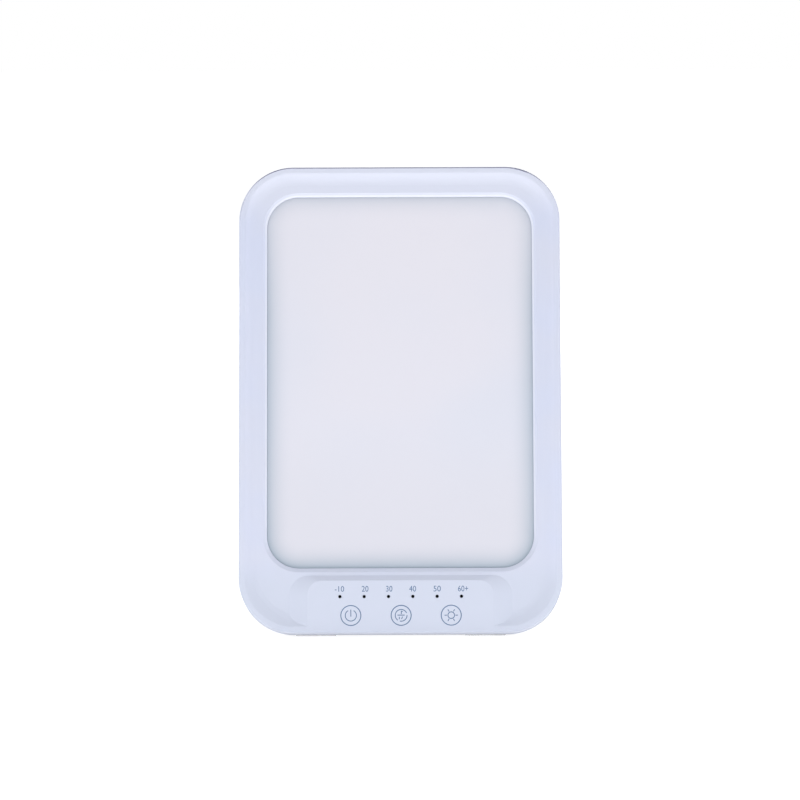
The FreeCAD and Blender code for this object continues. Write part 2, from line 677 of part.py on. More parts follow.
def rearCover():
    body = newBody("rear_cover")
    outline = newSketch(body, "Outline", "XZ_Plane", "partingDepth")
    slabOutline(outline, "0")
    pad(body, "Blank", outline, "slabDepth - partingDepth")
    cavity = newSketch(body, "Cavity", "XZ_Plane", "partingDepth")
    slabOutline(cavity, "wallThick")
    hollow = pocket(body, "CavityCut", cavity, "coverInner - partingDepth")
    inner = body.newObject("PartDesign::Chamfer", body.Name + "CavityEdge")
    inner.Base = (hollow, edgesWhere(hollow, slabTest("wallThick", "coverInner")))
    inner.setExpression("Size", bind("coverChamfer"))
    body.Tip = inner
    finish(inner)
    roundOff(body, "RearEdge", inner, "rearRadius", slabTest("0", "slabDepth"))
    # Tongue that locates the cover in the rebate of the bezel's wall
    tongue = newSketch(body, "Tongue", "XZ_Plane", "partingDepth - tongueReach")
    slabOutline(tongue, "wallThick - tongueThick")
    slabOutline(tongue, "wallThick")
    pad(body, "TonguePad", tongue, "tongueReach + tongueGap")
    # Well that the leg folds into: its walls first, then the recess itself
    well = newSketch(body, "Well", "YZ_Plane")
    addOutline(well, [
        ("recessFloor - wallThick", "wellSill"),
        ("slabDepth - rearRadius + wallThick", "wellSill"),
        ("coverInner + wellSill / 2", "rearRadius - wallThick"),
        ("coverInner + wellSill / 2", "recessHigh + wallThick"),
        ("rampEndDepth - wallThick", "recessHigh + wallThick"),
        ("rampEndDepth - wallThick", "rampTipHeight"),
        ("hingeFloor - wallThick", "hingeHeight"),
        ("hingeFloor - wallThick", "taperHigh"),
        ("recessFloor - wallThick", "taperHigh - wallThick"),
    ])
    pad(body, "WellPad", well, "2 * (recessHalf + wallThick)", "both")
    # Bosses that hold the hinge pins
    boss = newSketch(body, "HingeBoss", "YZ_Plane", "recessHalf + wallThick - wellSill")
    addBox(
        boss,
        "hingeDepth - hingeBossFront",
        "coverInner + wellSill / 2",
        "hingeHeight - hingeBossHalf",
        "hingeHeight + hingeBossHalf",
    )
    bossPad = pad(body, "HingeBossPad", boss, "hingeBossLong - wallThick + wellSill", "right")
    mirror(body, "HingeBosses", [bossPad])
    bay = newSketch(body, "LegBay", "XZ_Plane", "slabDepth")
    addOutline(bay, [
        ("-recessTipHalf", "-wellSill"),
        ("recessTipHalf", "-wellSill"),
        ("recessTipHalf", "tipLow"),
        ("recessHalf", "taperHigh"),
        ("recessHalf", "recessHigh"),
        ("-recessHalf", "recessHigh"),
        ("-recessHalf", "taperHigh"),
        ("-recessTipHalf", "tipLow"),
    ])
    pocket(body, "LegBayCut", bay, "slabDepth - recessFloor", "front")
    # Deeper bay round the barrel, and the ramp that stops the heel of the leg
    hingeBay = newSketch(body, "HingeBay", "YZ_Plane")
    addOutline(hingeBay, [
        ("slabDepth + wellSill", "taperHigh"),
        ("recessFloor", "taperHigh"),
        ("hingeFloor", "taperHigh + wallThick"),
        ("hingeFloor", "hingeHeight + wallThick"),
        ("rampTipDepth", "rampTipHeight"),
        ("rampEndDepth", "rampEndHeight"),
        ("rampEndDepth", "recessHigh"),
        ("slabDepth + wellSill", "recessHigh"),
    ])
    pocket(body, "HingeBayCut", hingeBay, "2 * recessHalf", "both")
    pinHole = newSketch(body, "PinHole", "YZ_Plane")
    addCircle(pinHole, "hingeDepth", "hingeHeight", "hingePinRadius + runningGap / 3")
    pocket(body, "PinHoleCut", pinHole, "2 * (recessHalf + hingeBossLong + wellSill)", "both")
    # Screw wells that reach down to the bezel's bosses
    tubes = newSketch(body, "ScrewTubes", "XZ_Plane", "bossTop")
    addPairs(tubes, housingScrews, "wellRadius + wellWall")
    pad(body, "ScrewTubesPad", tubes, "coverInner + sheetGap - bossTop")
    wells = newSketch(body, "ScrewWells", "XZ_Plane", "slabDepth")
    addPairs(wells, housingScrews, "wellRadius")
    pocket(body, "ScrewWellsCut", wells, "slabDepth - wellSeat", "front")
    passes = newSketch(body, "ScrewPasses", "XZ_Plane", "bossTop")
    addPairs(passes, housingScrews, "screwRadius + screwPass")
    pocket(body, "ScrewPassesCut", passes, "wellFloor + screwPass")
    # Power inlet, vents, ribs and the seats of the two feet
    inlet = newSketch(body, "Inlet", "XZ_Plane", "slabDepth")
    addCircle(inlet, "jackAcross", "jackHeight", "jackNoseRadius + jackClearance")
    pocket(body, "InletCut", inlet, "wallThick + wellSill", "front")
    vent = newSketch(body, "Vent", "XZ_Plane", "slabDepth")
    addBox(
        vent,
        "-ventPitch * (ventCount - 1) / 2 - ventWidth / 2",
        "-ventPitch * (ventCount - 1) / 2 + ventWidth / 2",
        "ventLow",
        "ventTop",
    )
    slot = pocket(body, "VentCut", vent, "wallThick + wellSill", "front")
    repeat(body, "Vents", [slot], "X_Axis", "ventPitch", "ventCount")
    rib = newSketch(body, "Rib", "XZ_Plane", "coverInner - ribReach")
    addBox(rib, "-ribHalf", "ribHalf", "ribLow", "ribLow + ribThick")
    ribPad = pad(body, "RibPad", rib, "ribReach + sheetGap")
    repeat(body, "Ribs", [ribPad], "Z_Axis", "ribPitch", "ribCount")
    seat = newSketch(body, "FootSeat", "YZ_Plane", "footInner - footGap")
    addBox(seat, "footFront - footGap", "footBack + footGap", "-footSeat", "footSeat")
    seatCut = pocket(body, "FootSeatCut", seat, "footLong + 2 * footGap", "right")
    mirror(body, "FootSeats", [seatCut])


def soleCorners(points):
    # Points below the hinge, each measured square to the leg's sole and along it
    corners = []
    for drop, along in points:
        across = f"hingeDepth - ({drop}) * sin(tipAngle) + ({along}) * cos(tipAngle)"
        up = f"hingeHeight - ({drop}) * cos(tipAngle) - ({along}) * sin(tipAngle)"
        corners.append((across, up))
    return corners


def standLeg():
    body = newBody("stand_leg")
    blade = newSketch(body, "Blade", "XZ_Plane", "legInner")
    addOutline(blade, [
        ("-legTipWidth / 2", "tipLow", "legTipRadius"),
        ("-notchWidth / 2", "tipLow"),
        ("-notchTopWidth / 2", "notchHigh", "notchRadius"),
        ("notchTopWidth / 2", "notchHigh", "notchRadius"),
        ("notchWidth / 2", "tipLow"),
        ("legTipWidth / 2", "tipLow", "legTipRadius"),
        ("legWidth / 2", "taperHigh"),
        ("legWidth / 2", "legHigh"),
        ("-legWidth / 2", "legHigh"),
        ("-legWidth / 2", "taperHigh"),
    ])
    pad(body, "BladePad", blade, "legThick")
    heel = newSketch(body, "Heel", "YZ_Plane")
    addBox(heel, "legInner - wellSill", "heelFace", "hingeHeight", "legHigh + wellSill")
    pocket(body, "HeelCut", heel, "legWidth + 2 * wellSill", "both")
    barrel = newSketch(body, "Barrel", "YZ_Plane")
    addCircle(barrel, "hingeDepth", "hingeHeight", "barrelRadius")
    pad(body, "BarrelPad", barrel, "legWidth", "both")
    sole = newSketch(body, "Sole", "YZ_Plane")
    cut, below = "standHeight - padThick", "standHeight - padThick + 2 * legThick"
    before, after = "soleMiddle - 2 * legThick", "soleMiddle + 2 * legThick"
    addOutline(sole, soleCorners([(cut, before), (below, before), (below, after), (cut, after)]))
    pocket(body, "SoleCut", sole, "legWidth", "both")
    # Cored-out inner side with cross ribs
    core = newSketch(body, "Core", "XZ_Plane", "legInner")
    addOutline(core, [
        ("-(legTipWidth / 2 - legPocketMargin)", "notchHigh + legPocketMargin"),
        ("legTipWidth / 2 - legPocketMargin", "notchHigh + legPocketMargin"),
        ("legWidth / 2 - legPocketMargin", "taperHigh - legPocketMargin"),
        ("-(legWidth / 2 - legPocketMargin)", "taperHigh - legPocketMargin"),
    ])
    pocket(body, "CoreCut", core, "legPocketDepth")
    rib = newSketch(body, "Rib", "XZ_Plane", "legInner")
    addBox(
        rib,
        "-(legTipWidth / 2 - wellSill)",
        "legTipWidth / 2 - wellSill",
        "legRibLow",
        "legRibLow + legRibThick",
    )
    ribPad = pad(body, "RibPad", rib, "legPocketDepth + sheetGap")
    repeat(body, "Ribs", [ribPad], "Z_Axis", "legRibPitch", "legRibCount")
    spine = newSketch(body, "Spine", "XZ_Plane", "legInner")
    addBox(
        spine,
        "-legRibThick / 2",
        "legRibThick / 2",
        "notchHigh + legPocketMargin - sheetGap",
        "taperHigh - legPocketMargin + sheetGap",
    )
    pad(body, "SpinePad", spine, "legPocketDepth + sheetGap")
    bore = newSketch(body, "PinBore", "YZ_Plane", "legWidth / 2 + wellSill")
    addCircle(bore, "hingeDepth", "hingeHeight", "hingePinRadius + runningGap")
    boreCut = pocket(body, "PinBoreCut", bore, "hingePinInLeg + 2 * wellSill", "left")
    mirror(body, "PinBores", [boreCut])
    # Slots for the tongues of the foot pads
    slot = newSketch(body, "PadSlot", "YZ_Plane", "padAcross - padWidth / 2")
    addOutline(slot, padTongueCorners())
    slotCut = pocket(body, "PadSlotCut", slot, "padWidth", "right")
    mirror(body, "PadSlots", [slotCut])


def padTongueCorners():
    top, bottom = "standHeight - padThick - padTongue", "standHeight - padThick / 2"
    before, after = "soleMiddle - padTongueThick / 2", "soleMiddle + padTongueThick / 2"
    return soleCorners([(bottom, before), (bottom, after), (top, after), (top, before)])


def standFootPads():
    body = newBody("stand_foot_pads", severalSolids=True)
    top, bottom = "standHeight - padThick", "standHeight"
    before, after = "soleMiddle - legThick / 2 + padInset", "soleMiddle + legThick / 2 - padInset"
    block = newSketch(body, "Block", "YZ_Plane", "padAcross - padWidth / 2")
    addOutline(block, soleCorners([(bottom, before), (bottom, after), (top, after), (top, before)]))
    blockPad = pad(body, "BlockPad", block, "padWidth", "right")
    tongue = newSketch(body, "Tongue", "YZ_Plane", "padAcross - padWidth / 2")
    addOutline(tongue, padTongueCorners())
    tonguePad = pad(body, "TonguePad", tongue, "padWidth", "right")
    mirror(body, "Pair", [blockPad, tonguePad])


def hingePins():
    body = newBody("hinge_pins", severalSolids=True)
    shank = newSketch(body, "Shank", "YZ_Plane", "legWidth / 2 - hingePinInLeg")
    addCircle(shank, "hingeDepth", "hingeHeight", "hingePinRadius")
    length = "recessHalf + hingeBossLong - legWidth / 2 + hingePinInLeg"
    shankPad = pad(body, "ShankPad", shank, length, "right")
    mirror(body, "Pair", [shankPad])


def frictionWashers():
    body = newBody("friction_washers", severalSolids=True)
    ring = newSketch(body, "Ring", "YZ_Plane", "legWidth / 2 + sheetGap")
    addCircle(ring, "hingeDepth", "hingeHeight", "washerRadius")
    addCircle(ring, "hingeDepth", "hingeHeight", "hingePinRadius + runningGap")
    ringPad = pad(body, "RingPad", ring, "washerThick", "right")
    mirror(body, "Pair", [ringPad])


def bottomFeet():
    body = newBody("bottom_feet", severalSolids=True)
    strip = newSketch(body, "Strip", "YZ_Plane", "footInner")
    addOutline(strip, [
        ("footFront", "footFront * tan(leanAngle) - footDrop"),
        ("footBack", "footBack * tan(leanAngle) - footDrop"),
        ("footBack", "footSeat"),
        ("footFront", "footSeat"),
    ])
    stripPad = pad(body, "StripPad", strip, "footLong", "right")
    mirror(body, "Pair", [stripPad])


def stackSheet(label, front, thick):
    body = newBody(label)
    outline = newSketch(body, "Outline", "XZ_Plane", front)
    addBox(outline, "-stackHalf", "stackHalf", "stackLow", "stackHigh", "windowRadius + stackOverlap")
    pad(body, "Pad", outline, thick)
    return outline


def diffuserGasket():
    outline = stackSheet("diffuser_gasket", "seatDepth", "gasketThick")
    addBox(
        outline,
        "-(windowHalf + gasketMargin)",
        "windowHalf + gasketMargin",
        "windowLow - gasketMargin",
        "windowHigh + gasketMargin",
        "windowRadius + gasketMargin",
    )


def block(label, left, right, low, high, front, thick, radius=None):
    body = newBody(label)
    outline = newSketch(body, "Outline", "XZ_Plane", front)
    addBox(outline, left, right, low, high, radius)
    pad(body, "Pad", outline, thick)
    return body


def guideBlock(label, front, thick):
    block(label, "-guideHalf", "guideHalf", "ledBoardLow", "ledBoardHigh", front, thick)


def backPlate():
    body = newBody("back_plate")
    plate = newSketch(body, "Plate", "XZ_Plane", "plateFront")
    addBox(plate, "-flangeOuter", "flangeOuter", "plateLow", "plateHigh", "plateCorner")
    pad(body, "PlatePad", plate, "plateThick")
    tabs = newSketch(body, "Tabs", "XZ_Plane", "plateFront")
    for side in ("-", ""):
        addBox(
            tabs,
            f"{side}plateBossAcross - plateTabWidth / 2",
            f"{side}plateBossAcross + plateTabWidth / 2",
            "plateHigh - plateLip",
            "plateBossHeight + plateTabReach",
        )
    pad(body, "TabsPad", tabs, "plateThick")
    flange = newSketch(body, "Flange", "XZ_Plane", "plateFront - flangeReach")
    addBox(flange, "flangeFace", "flangeOuter", "ledBoardLow", "ledBoardHigh")
    flangePad = pad(body, "FlangePad", flange, "flangeReach + sheetGap")
    mirror(body, "Flanges", [flangePad])
    holes = newSketch(body, "Holes", "XZ_Plane", "plateFront")
    addPairs(holes, plateScrews, "smallScrewRadius + screwPass")
    pocket(body, "HolesCut", holes, "plateThick")


def ledStrip(side):
    sign = "-" if side == "left" else ""
    near, far = f"{sign}ledBoardFace", f"{sign}flangeFace"
    left, right = (far, near) if side == "left" else (near, far)
    high, front, deep = "ledBoardHigh", "ledBoardFront", "ledBoardAcross"
    block(f"{side}_led_board", left, right, "ledBoardLow", high, front, deep)
    body = newBody(f"{side}_leds", severalSolids=True)
    middle = "guideFront + guideThick / 2"
    lamp = newSketch(body, "Lamp", "YZ_Plane", f"{sign}ledFace")
    addBox(
        lamp,
        f"{middle} - ledAcross / 2",
        f"{middle} + ledAcross / 2",
        "ledBoardLow + ledEndMargin",
        "ledBoardLow + ledEndMargin + ledLong",
    )
    lampPad = pad(body, "LampPad", lamp, "ledThick", side)
    pitch = "(ledBoardHigh - ledBoardLow - 2 * ledEndMargin - ledLong) / (ledCount - 1)"
    repeat(body, "Row", [lampPad], "Z_Axis", pitch, "ledCount")


def controlBoard():
    body = block(
        "control_board",
        "-boardLeft",
        "boardRight",
        "boardLow",
        "boardHigh",
        "boardFront",
        "boardThick",
    )
    holes = newSketch(body, "Holes", "XZ_Plane", "boardFront")
    addPairs(holes, boardScrews, "smallScrewRadius + screwPass")
    pocket(body, "HolesCut", holes, "boardThick")


def centredBlock(label, across, up, wide, tall, thick, radius=None):
    left, right = f"{across} - {wide} / 2", f"{across} + {wide} / 2"
    low, high = f"{up} - {tall} / 2", f"{up} + {tall} / 2"
    block(label, left, right, low, high, "boardBack", thick, radius)


def storageCapacitors():
    body = newBody("storage_capacitors", severalSolids=True)
    cans = newSketch(body, "Cans", "XZ_Plane", "boardBack")
    addCircle(cans, "-capacitorAcross", "partHeight", "capacitorRadius")
    addCircle(cans, "-(capacitorAcross + capacitorPitch)", "partHeight", "capacitorRadius")
    pad(body, "CansPad", cans, "capacitorLong")


def ledConnectors():
    body = newBody("led_connectors", severalSolids=True)
    plugs = newSketch(body, "Plugs", "XZ_Plane", "boardBack")
    for middle in ("-plugLeftAcross", "plugRightAcross"):
        addBox(
            plugs,
            f"{middle} - plugWidth / 2",
            f"{middle} + plugWidth / 2",
            "cableHeight - plugHeight / 2",
            "cableHeight + plugHeight / 2",
        )
    pad(body, "PlugsPad", plugs, "plugThick")


def ledCables():
    # Flat flexible cables that run out from the control board and turn up to each LED strip
    body = newBody("led_cables", severalSolids=True)
    for name, sign, plug in (("Left", "-", "plugLeftAcross"), ("Right", "", "plugRightAcross")):
        run = newSketch(body, name + "Run", "XZ_Plane", "boardBack + (plugThick - cableWidth) / 2")
        start = f"{sign}({plug} + plugWidth / 2)"
        outer = f"{sign}(ledBoardFace + (ledBoardThick + cableThick) / 2)"
        inner = f"{sign}(ledBoardFace + (ledBoardThick - cableThick) / 2)"
        addOutline(run, [
            (start, "cableHeight - cableThick / 2"),
            (outer, "cableHeight - cableThick / 2", "cableBend + cableThick"),
            (outer, "ledBoardLow"),
            (inner, "ledBoardLow"),
            (inner, "cableHeight + cableThick / 2", "cableBend"),
            (start, "cableHeight + cableThick / 2"),
        ])
        pad(body, name + "RunPad", run, "cableWidth")


def touchSprings():
    # Bent leaf springs that carry each key's field from the board to the back of the panel
    body = newBody("touch_springs", severalSolids=True)
    leaf = newSketch(body, "Leaf", "YZ_Plane", "-(keyPitch + springWidth / 2)")
    low, high = "keyHeight - springLong / 2", "keyHeight + springLong / 2"
    addOutline(leaf, [
        ("boardFront", low),
        ("boardFront", high),
        ("boardFront - springThick", high),
        ("panelSkin + springThick", f"{low} + 2 * springThick"),
        ("panelSkin + springThick", high),
        ("panelSkin", high),
        ("panelSkin", low),
        ("panelSkin + springThick", low),
        ("boardFront - springThick", f"{high} - 2 * springThick"),
        ("boardFront - springThick", low),
    ])
    leafPad = pad(body, "LeafPad", leaf, "springWidth", "right")
    repeat(body, "Row", [leafPad], "X_Axis", "keyPitch", "keyCount")


def indicatorLeds():
    body = newBody("indicator_leds", severalSolids=True)
    lamp = newSketch(body, "Lamp", "XZ_Plane", "dotLedFront")
    first = "-dotPitch * (dotCount - 1) / 2"
    addBox(
        lamp,
        f"{first} - dotLedSize / 2",
        f"{first} + dotLedSize / 2",
        "dotHeight - dotLedSize / 4",
        "dotHeight + dotLedSize / 4",
    )
    lampPad = pad(body, "LampPad", lamp, "dotLedThick")
    repeat(body, "Row", [lampPad], "X_Axis", "dotPitch", "dotCount")


def indicatorLightPipe():
    body = newBody("indicator_light_pipe")
    bar = newSketch(body, "Bar", "XZ_Plane", "panelSkin")
    first = "-dotPitch * (dotCount - 1) / 2"
    addBox(
        bar,
        f"{first} - pipeBarHeight / 2",
        "dotPitch * (dotCount - 1) / 2 + pipeBarHeight / 2",
        "dotHeight - pipeBarHeight / 2",
        "dotHeight + pipeBarHeight / 2",
    )
    pad(body, "BarPad", bar, "pipeBarThick")
    pin = newSketch(body, "Pin", "XZ_Plane", "sheetGap")
    addCircle(pin, first, "dotHeight", "dotRadius")
    pinPad = pad(body, "PinPad", pin, "panelSkin")
    repeat(body, "Pins", [pinPad], "X_Axis", "dotPitch", "dotCount")


def dcJack():
    body = block(
        "dc_jack",
        "jackAcross - jackBody / 2",
        "jackAcross + jackBody / 2",
        "jackHeight - jackBody / 2",
        "jackHeight + jackBody / 2",
        "boardBack",
        "coverInner - sheetGap - boardBack",
    )
    nose = newSketch(body, "Nose", "XZ_Plane", "coverInner - 2 * sheetGap")
    addCircle(nose, "jackAcross", "jackHeight", "jackNoseRadius")
    pad(body, "NosePad", nose, "jackNose - coverInner + 2 * sheetGap")
    bore = newSketch(body, "Bore", "XZ_Plane", "jackNose")
    addCircle(bore, "jackAcross", "jackHeight", "jackBoreRadius")
    pocket(body, "BoreCut", bore, "jackBoreDepth", "front")
    pin = newBody("dc_jack_pin")
    section = newSketch(pin, "Section", "XZ_Plane", "jackNose - jackBoreDepth")
    addCircle(section, "jackAcross", "jackHeight", "jackPinRadius")
    pad(pin, "Pad", section, "jackPinLong")


def screws(label, centres, tip, seat, shankRadius, headRadius, headThick):
    body = newBody(label, severalSolids=True)
    shanks = newSketch(body, "Shanks", "XZ_Plane", tip)
    addPairs(shanks, centres, shankRadius)
    pad(body, "ShanksPad", shanks, f"{seat} - ({tip})")
    heads = newSketch(body, "Heads", "XZ_Plane", seat)
    addPairs(heads, centres, headRadius)
    pad(body, "HeadsPad", heads, headThick)


def standUp():
    # Leans every piece back and puts the middle of the footprint at the origin
    front = "rimRadius * (cos(leanAngle) + sin(leanAngle)) - rimRadius"
    back = (
        "(slabDepth - rearRadius) * cos(leanAngle)"
        " + (slabHeight - rearRadius) * sin(leanAngle) + rearRadius"
    )
    shift = f"-(({front}) + ({back})) / 2"
    hinge = ("hingeDepth * cos(leanAngle) + hingeHeight * sin(leanAngle)", "standHeight")
    legs = ("stand_leg", "stand_foot_pads")
    for part in parts:
        if part.Label in legs:
            part.Placement = FreeCAD.Placement(
                FreeCAD.Vector(),
                FreeCAD.Rotation(FreeCAD.Vector(1, 0, 0), value("tipAngle")),
            )
            angle = "tipAngle"
            across = f"{shift} + {hinge[0]} - (hingeDepth * cos(tipAngle) - hingeHeight * sin(tipAngle))"
            up = f"{hinge[1]} - (hingeDepth * sin(tipAngle) + hingeHeight * cos(tipAngle))"
        else:
            part.Placement = FreeCAD.Placement(
                FreeCAD.Vector(),
                FreeCAD.Rotation(FreeCAD.Vector(-1, 0, 0), value("leanAngle")),
            )
            angle = "leanAngle"
            across = shift
            up = "footDrop * cos(leanAngle)"
        part.setExpression("Placement.Rotation.Angle", bind(angle))
        part.setExpression("Placement.Base.y", bind(across))
        part.setExpression("Placement.Base.z", bind(up))
    doc.recompute()


def checkAndWrite():
    for item in doc.Objects:
        if "Invalid" in item.State or "Error" in item.State:
            raise RuntimeError(f"{item.Name}: {item.State}")
    for part in parts:
        if part.Shape.isNull() or not part.Shape.isValid() or not part.Shape.Solids:
            raise RuntimeError(f"{part.Label} has no valid solid")
    os.makedirs("parts", exist_ok=True)
    for part in parts:
        part.Shape.exportStep(f"parts/{part.Label}.step")
        print(part.Label, len(part.Shape.Solids), round(part.Shape.Volume, 1))


frontBezel()
rearCover()
standLeg()
standFootPads()
hingePins()
frictionWashers()
bottomFeet()
diffuserGasket()
stackSheet("diffuser_panel", "diffuserFront", "diffuserThick")
stackSheet("prism_film", "filmFront", "filmThick")
guideBlock("light_guide_plate", "guideFront", "guideThick")
guideBlock("reflector_sheet", "reflectorFront", "reflectorThick")
backPlate()
ledStrip("left")
ledStrip("right")
controlBoard()
centredBlock("control_chip", "chipAcross", "partHeight", "chipSize", "chipSize", "chipThick")
centredBlock(
    "driver_inductor",
    "inductorAcross",
    "partHeight",
    "inductorSize",
    "inductorSize",
    "inductorThick",
    "inductorCorner",
)
storageCapacitors()
ledConnectors()
ledCables()
touchSprings()
indicatorLeds()
indicatorLightPipe()
dcJack()
screws(
    "housing_screws",
    housingScrews,
    "bossTop - screwReach",
    "wellSeat",
    "screwRadius",
    "screwHeadRadius",
    "screwHeadThick",
)
screws(
    "plate_screws",
    plateScrews,
    "plateFront - smallScrewReach",
    "plateBack",
    "smallScrewRadius",
    "smallHeadRadius",
    "smallHeadThick",
)
screws(
    "board_screws",
    boardScrews,
    "boardFront - boardScrewReach",
    "boardBack",
    "smallScrewRadius",
    "smallHeadRadius",
    "smallHeadThick",
)
standUp()
checkAndWrite()
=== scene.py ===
import json
import math

import bpy
from mathutils import Matrix, Quaternion, Vector


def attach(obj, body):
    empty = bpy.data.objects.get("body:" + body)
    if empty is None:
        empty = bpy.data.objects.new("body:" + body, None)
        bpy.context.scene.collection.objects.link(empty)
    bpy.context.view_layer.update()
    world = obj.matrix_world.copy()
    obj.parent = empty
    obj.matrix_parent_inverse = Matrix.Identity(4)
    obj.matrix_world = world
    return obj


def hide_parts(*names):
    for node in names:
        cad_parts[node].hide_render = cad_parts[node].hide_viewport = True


# Light therapy lamp: finishes, printed symbols, screws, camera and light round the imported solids.
# Lengths are in metres. "Slab" places run across (x), back (y) and up (z) from the middle of the
# lower front edge of the leaning housing.

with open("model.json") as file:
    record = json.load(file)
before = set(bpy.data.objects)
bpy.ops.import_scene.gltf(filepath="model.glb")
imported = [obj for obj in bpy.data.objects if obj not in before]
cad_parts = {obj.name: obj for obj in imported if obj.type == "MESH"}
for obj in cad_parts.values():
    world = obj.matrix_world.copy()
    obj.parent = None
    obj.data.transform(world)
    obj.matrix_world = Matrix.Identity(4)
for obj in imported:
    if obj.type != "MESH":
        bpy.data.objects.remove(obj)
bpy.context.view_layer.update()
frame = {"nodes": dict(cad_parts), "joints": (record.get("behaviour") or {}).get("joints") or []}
cadNodes = frame["nodes"]
print("frame loaded with", len(cadNodes), "nodes")

slab = {
    "lean": math.radians(15),
    "hingeDepth": 0.0186,  # leg hinge, back from the front
    "hingeHeight": 0.118,  # and up from the lower edge
    "partingDepth": 0.0095,  # where the bezel meets the rear cover
}
hinge = Vector(frame["joints"][0]["pos_m"])
leanBack = Matrix.Rotation(-slab["lean"], 4, "X")
slabStart = hinge - leanBack @ Vector((0, slab["hingeDepth"], slab["hingeHeight"]))
slabToRoom = Matrix.Translation(slabStart) @ leanBack


# Shader trees

def linear(red, green, blue):
    # screen values 0..255 to the shader's own
    channels = [value / 255 for value in (red, green, blue)]
    return tuple(c / 12.92 if c <= 0.04045 else ((c + 0.055) / 1.055) ** 2.4 for c in channels) + (1.0,)


class Wire:
    # an output of a node, so that sums and products of outputs are written as expressions
    def __init__(self, tree, socket):
        self.tree = tree
        self.socket = socket

    def combine(self, operation, first, second=None):
        values = {index: value for index, value in enumerate((first, second)) if value is not None}
        return self.tree.add("ShaderNodeMath", {"operation": operation}, values)

    def __add__(self, other):
        return self.combine("ADD", self, other)

    def __sub__(self, other):
        return self.combine("SUBTRACT", self, other)

    def __rsub__(self, other):
        return self.combine("SUBTRACT", other, self)

    def __mul__(self, other):
        return self.combine("MULTIPLY", self, other)

    def __truediv__(self, other):
        return self.combine("DIVIDE", self, other)

    def __abs__(self):
        return self.combine("ABSOLUTE", self)

    def __pow__(self, power):
        return self.combine("POWER", self, power)

    __radd__ = __add__
    __rmul__ = __mul__

    def larger(self, other):
        return self.combine("MAXIMUM", self, other)

    def smaller(self, other):
        return self.combine("MINIMUM", self, other)

    def fade(self, start, end):
        # 0 at start, 1 at end, with soft ends
        settings = {"interpolation_type": "SMOOTHSTEP", "clamp": True}
        return self.tree.add("ShaderNodeMapRange", settings, {0: self, 1: start, 2: end})


class Tree:
    def __init__(self, tree):
        self.tree = tree
        tree.nodes.clear()

    def add(self, kind, settings=None, sockets=None, output=0):
        node = self.tree.nodes.new(kind)
        for name, value in (settings or {}).items():
            setattr(node, name, value)
        for key, value in (sockets or {}).items():
            if isinstance(value, Wire):
                self.tree.links.new(value.socket, node.inputs[key])
            else:
                node.inputs[key].default_value = value
        return Wire(self, node.outputs[output]) if len(node.outputs) else None

    def place(self):
        return self.add("ShaderNodeTexCoord", output="Object")

    def split(self, vector):
        x = self.add("ShaderNodeSeparateXYZ", sockets={0: vector})
        return x, Wire(self, x.socket.node.outputs[1]), Wire(self, x.socket.node.outputs[2])

    def slabPlace(self):
        # across, back and up on the leaning slab
        start = -(leanBack.inverted() @ slabStart)
        sockets = {"Vector": self.place(), "Location": start, "Rotation": (slab["lean"], 0, 0)}
        return self.add("ShaderNodeMapping", {"vector_type": "POINT"}, sockets)

    def noise(self, vector, size, detail=2.0, roughness=0.5, stretch=None):
        if stretch is not None:
            vector = self.add("ShaderNodeVectorMath", {"operation": "MULTIPLY"}, {0: vector, 1: stretch})
        sockets = {"Vector": vector, "Scale": 1 / size, "Detail": detail, "Roughness": roughness}
        return self.add("ShaderNodeTexNoise", sockets=sockets)

    def mixColour(self, factor, first, second):
        sockets = {0: factor, 6: first, 7: second}
        return self.add("ShaderNodeMix", {"data_type": "RGBA"}, sockets, output=2)

    def dot(self, first, second):
        settings = {"operation": "DOT_PRODUCT"}
        return self.add("ShaderNodeVectorMath", settings, {0: first, 1: second}, output="Value")

    def bump(self, height, depth, normal=None):
        sockets = {"Height": height, "Distance": depth, "Strength": 1.0}
        if normal is not None:
            sockets["Normal"] = normal
        return self.add("ShaderNodeBump", sockets=sockets)

    def surface(self, sockets):
        shader = self.add("ShaderNodeBsdfPrincipled", sockets=sockets)
        self.add("ShaderNodeOutputMaterial", sockets={"Surface": shader})

    def seenRay(self):
        # 1 on rays that show the background: straight to the camera, by reflection or through glass
        path = self.add("ShaderNodeLightPath", output="Is Camera Ray")
        outputs = path.socket.node.outputs
        glossy, through = Wire(self, outputs["Is Glossy Ray"]), Wire(self, outputs["Is Transmission Ray"])
        return path.larger(glossy).larger(through)


window = {"halfWidth": 0.0661, "low": 0.0321, "high": 0.2186, "corner": 0.016}


def pastWindow(across, up):
    # distance outward from the window's outline, less than zero inside it
    middle = (window["low"] + window["high"]) / 2
    halfHeight = (window["high"] - window["low"]) / 2
    outside = abs(across) - (window["halfWidth"] - window["corner"])
    above = abs(up - middle) - (halfHeight - window["corner"])
    x, z = outside.larger(0.0), above.larger(0.0)
    return (x * x + z * z) ** 0.5 + outside.larger(above).smaller(0.0) - window["corner"]


def newFinish(name):
    material = bpy.data.materials.new(name)
    material.use_nodes = True
    return material, Tree(material.node_tree)


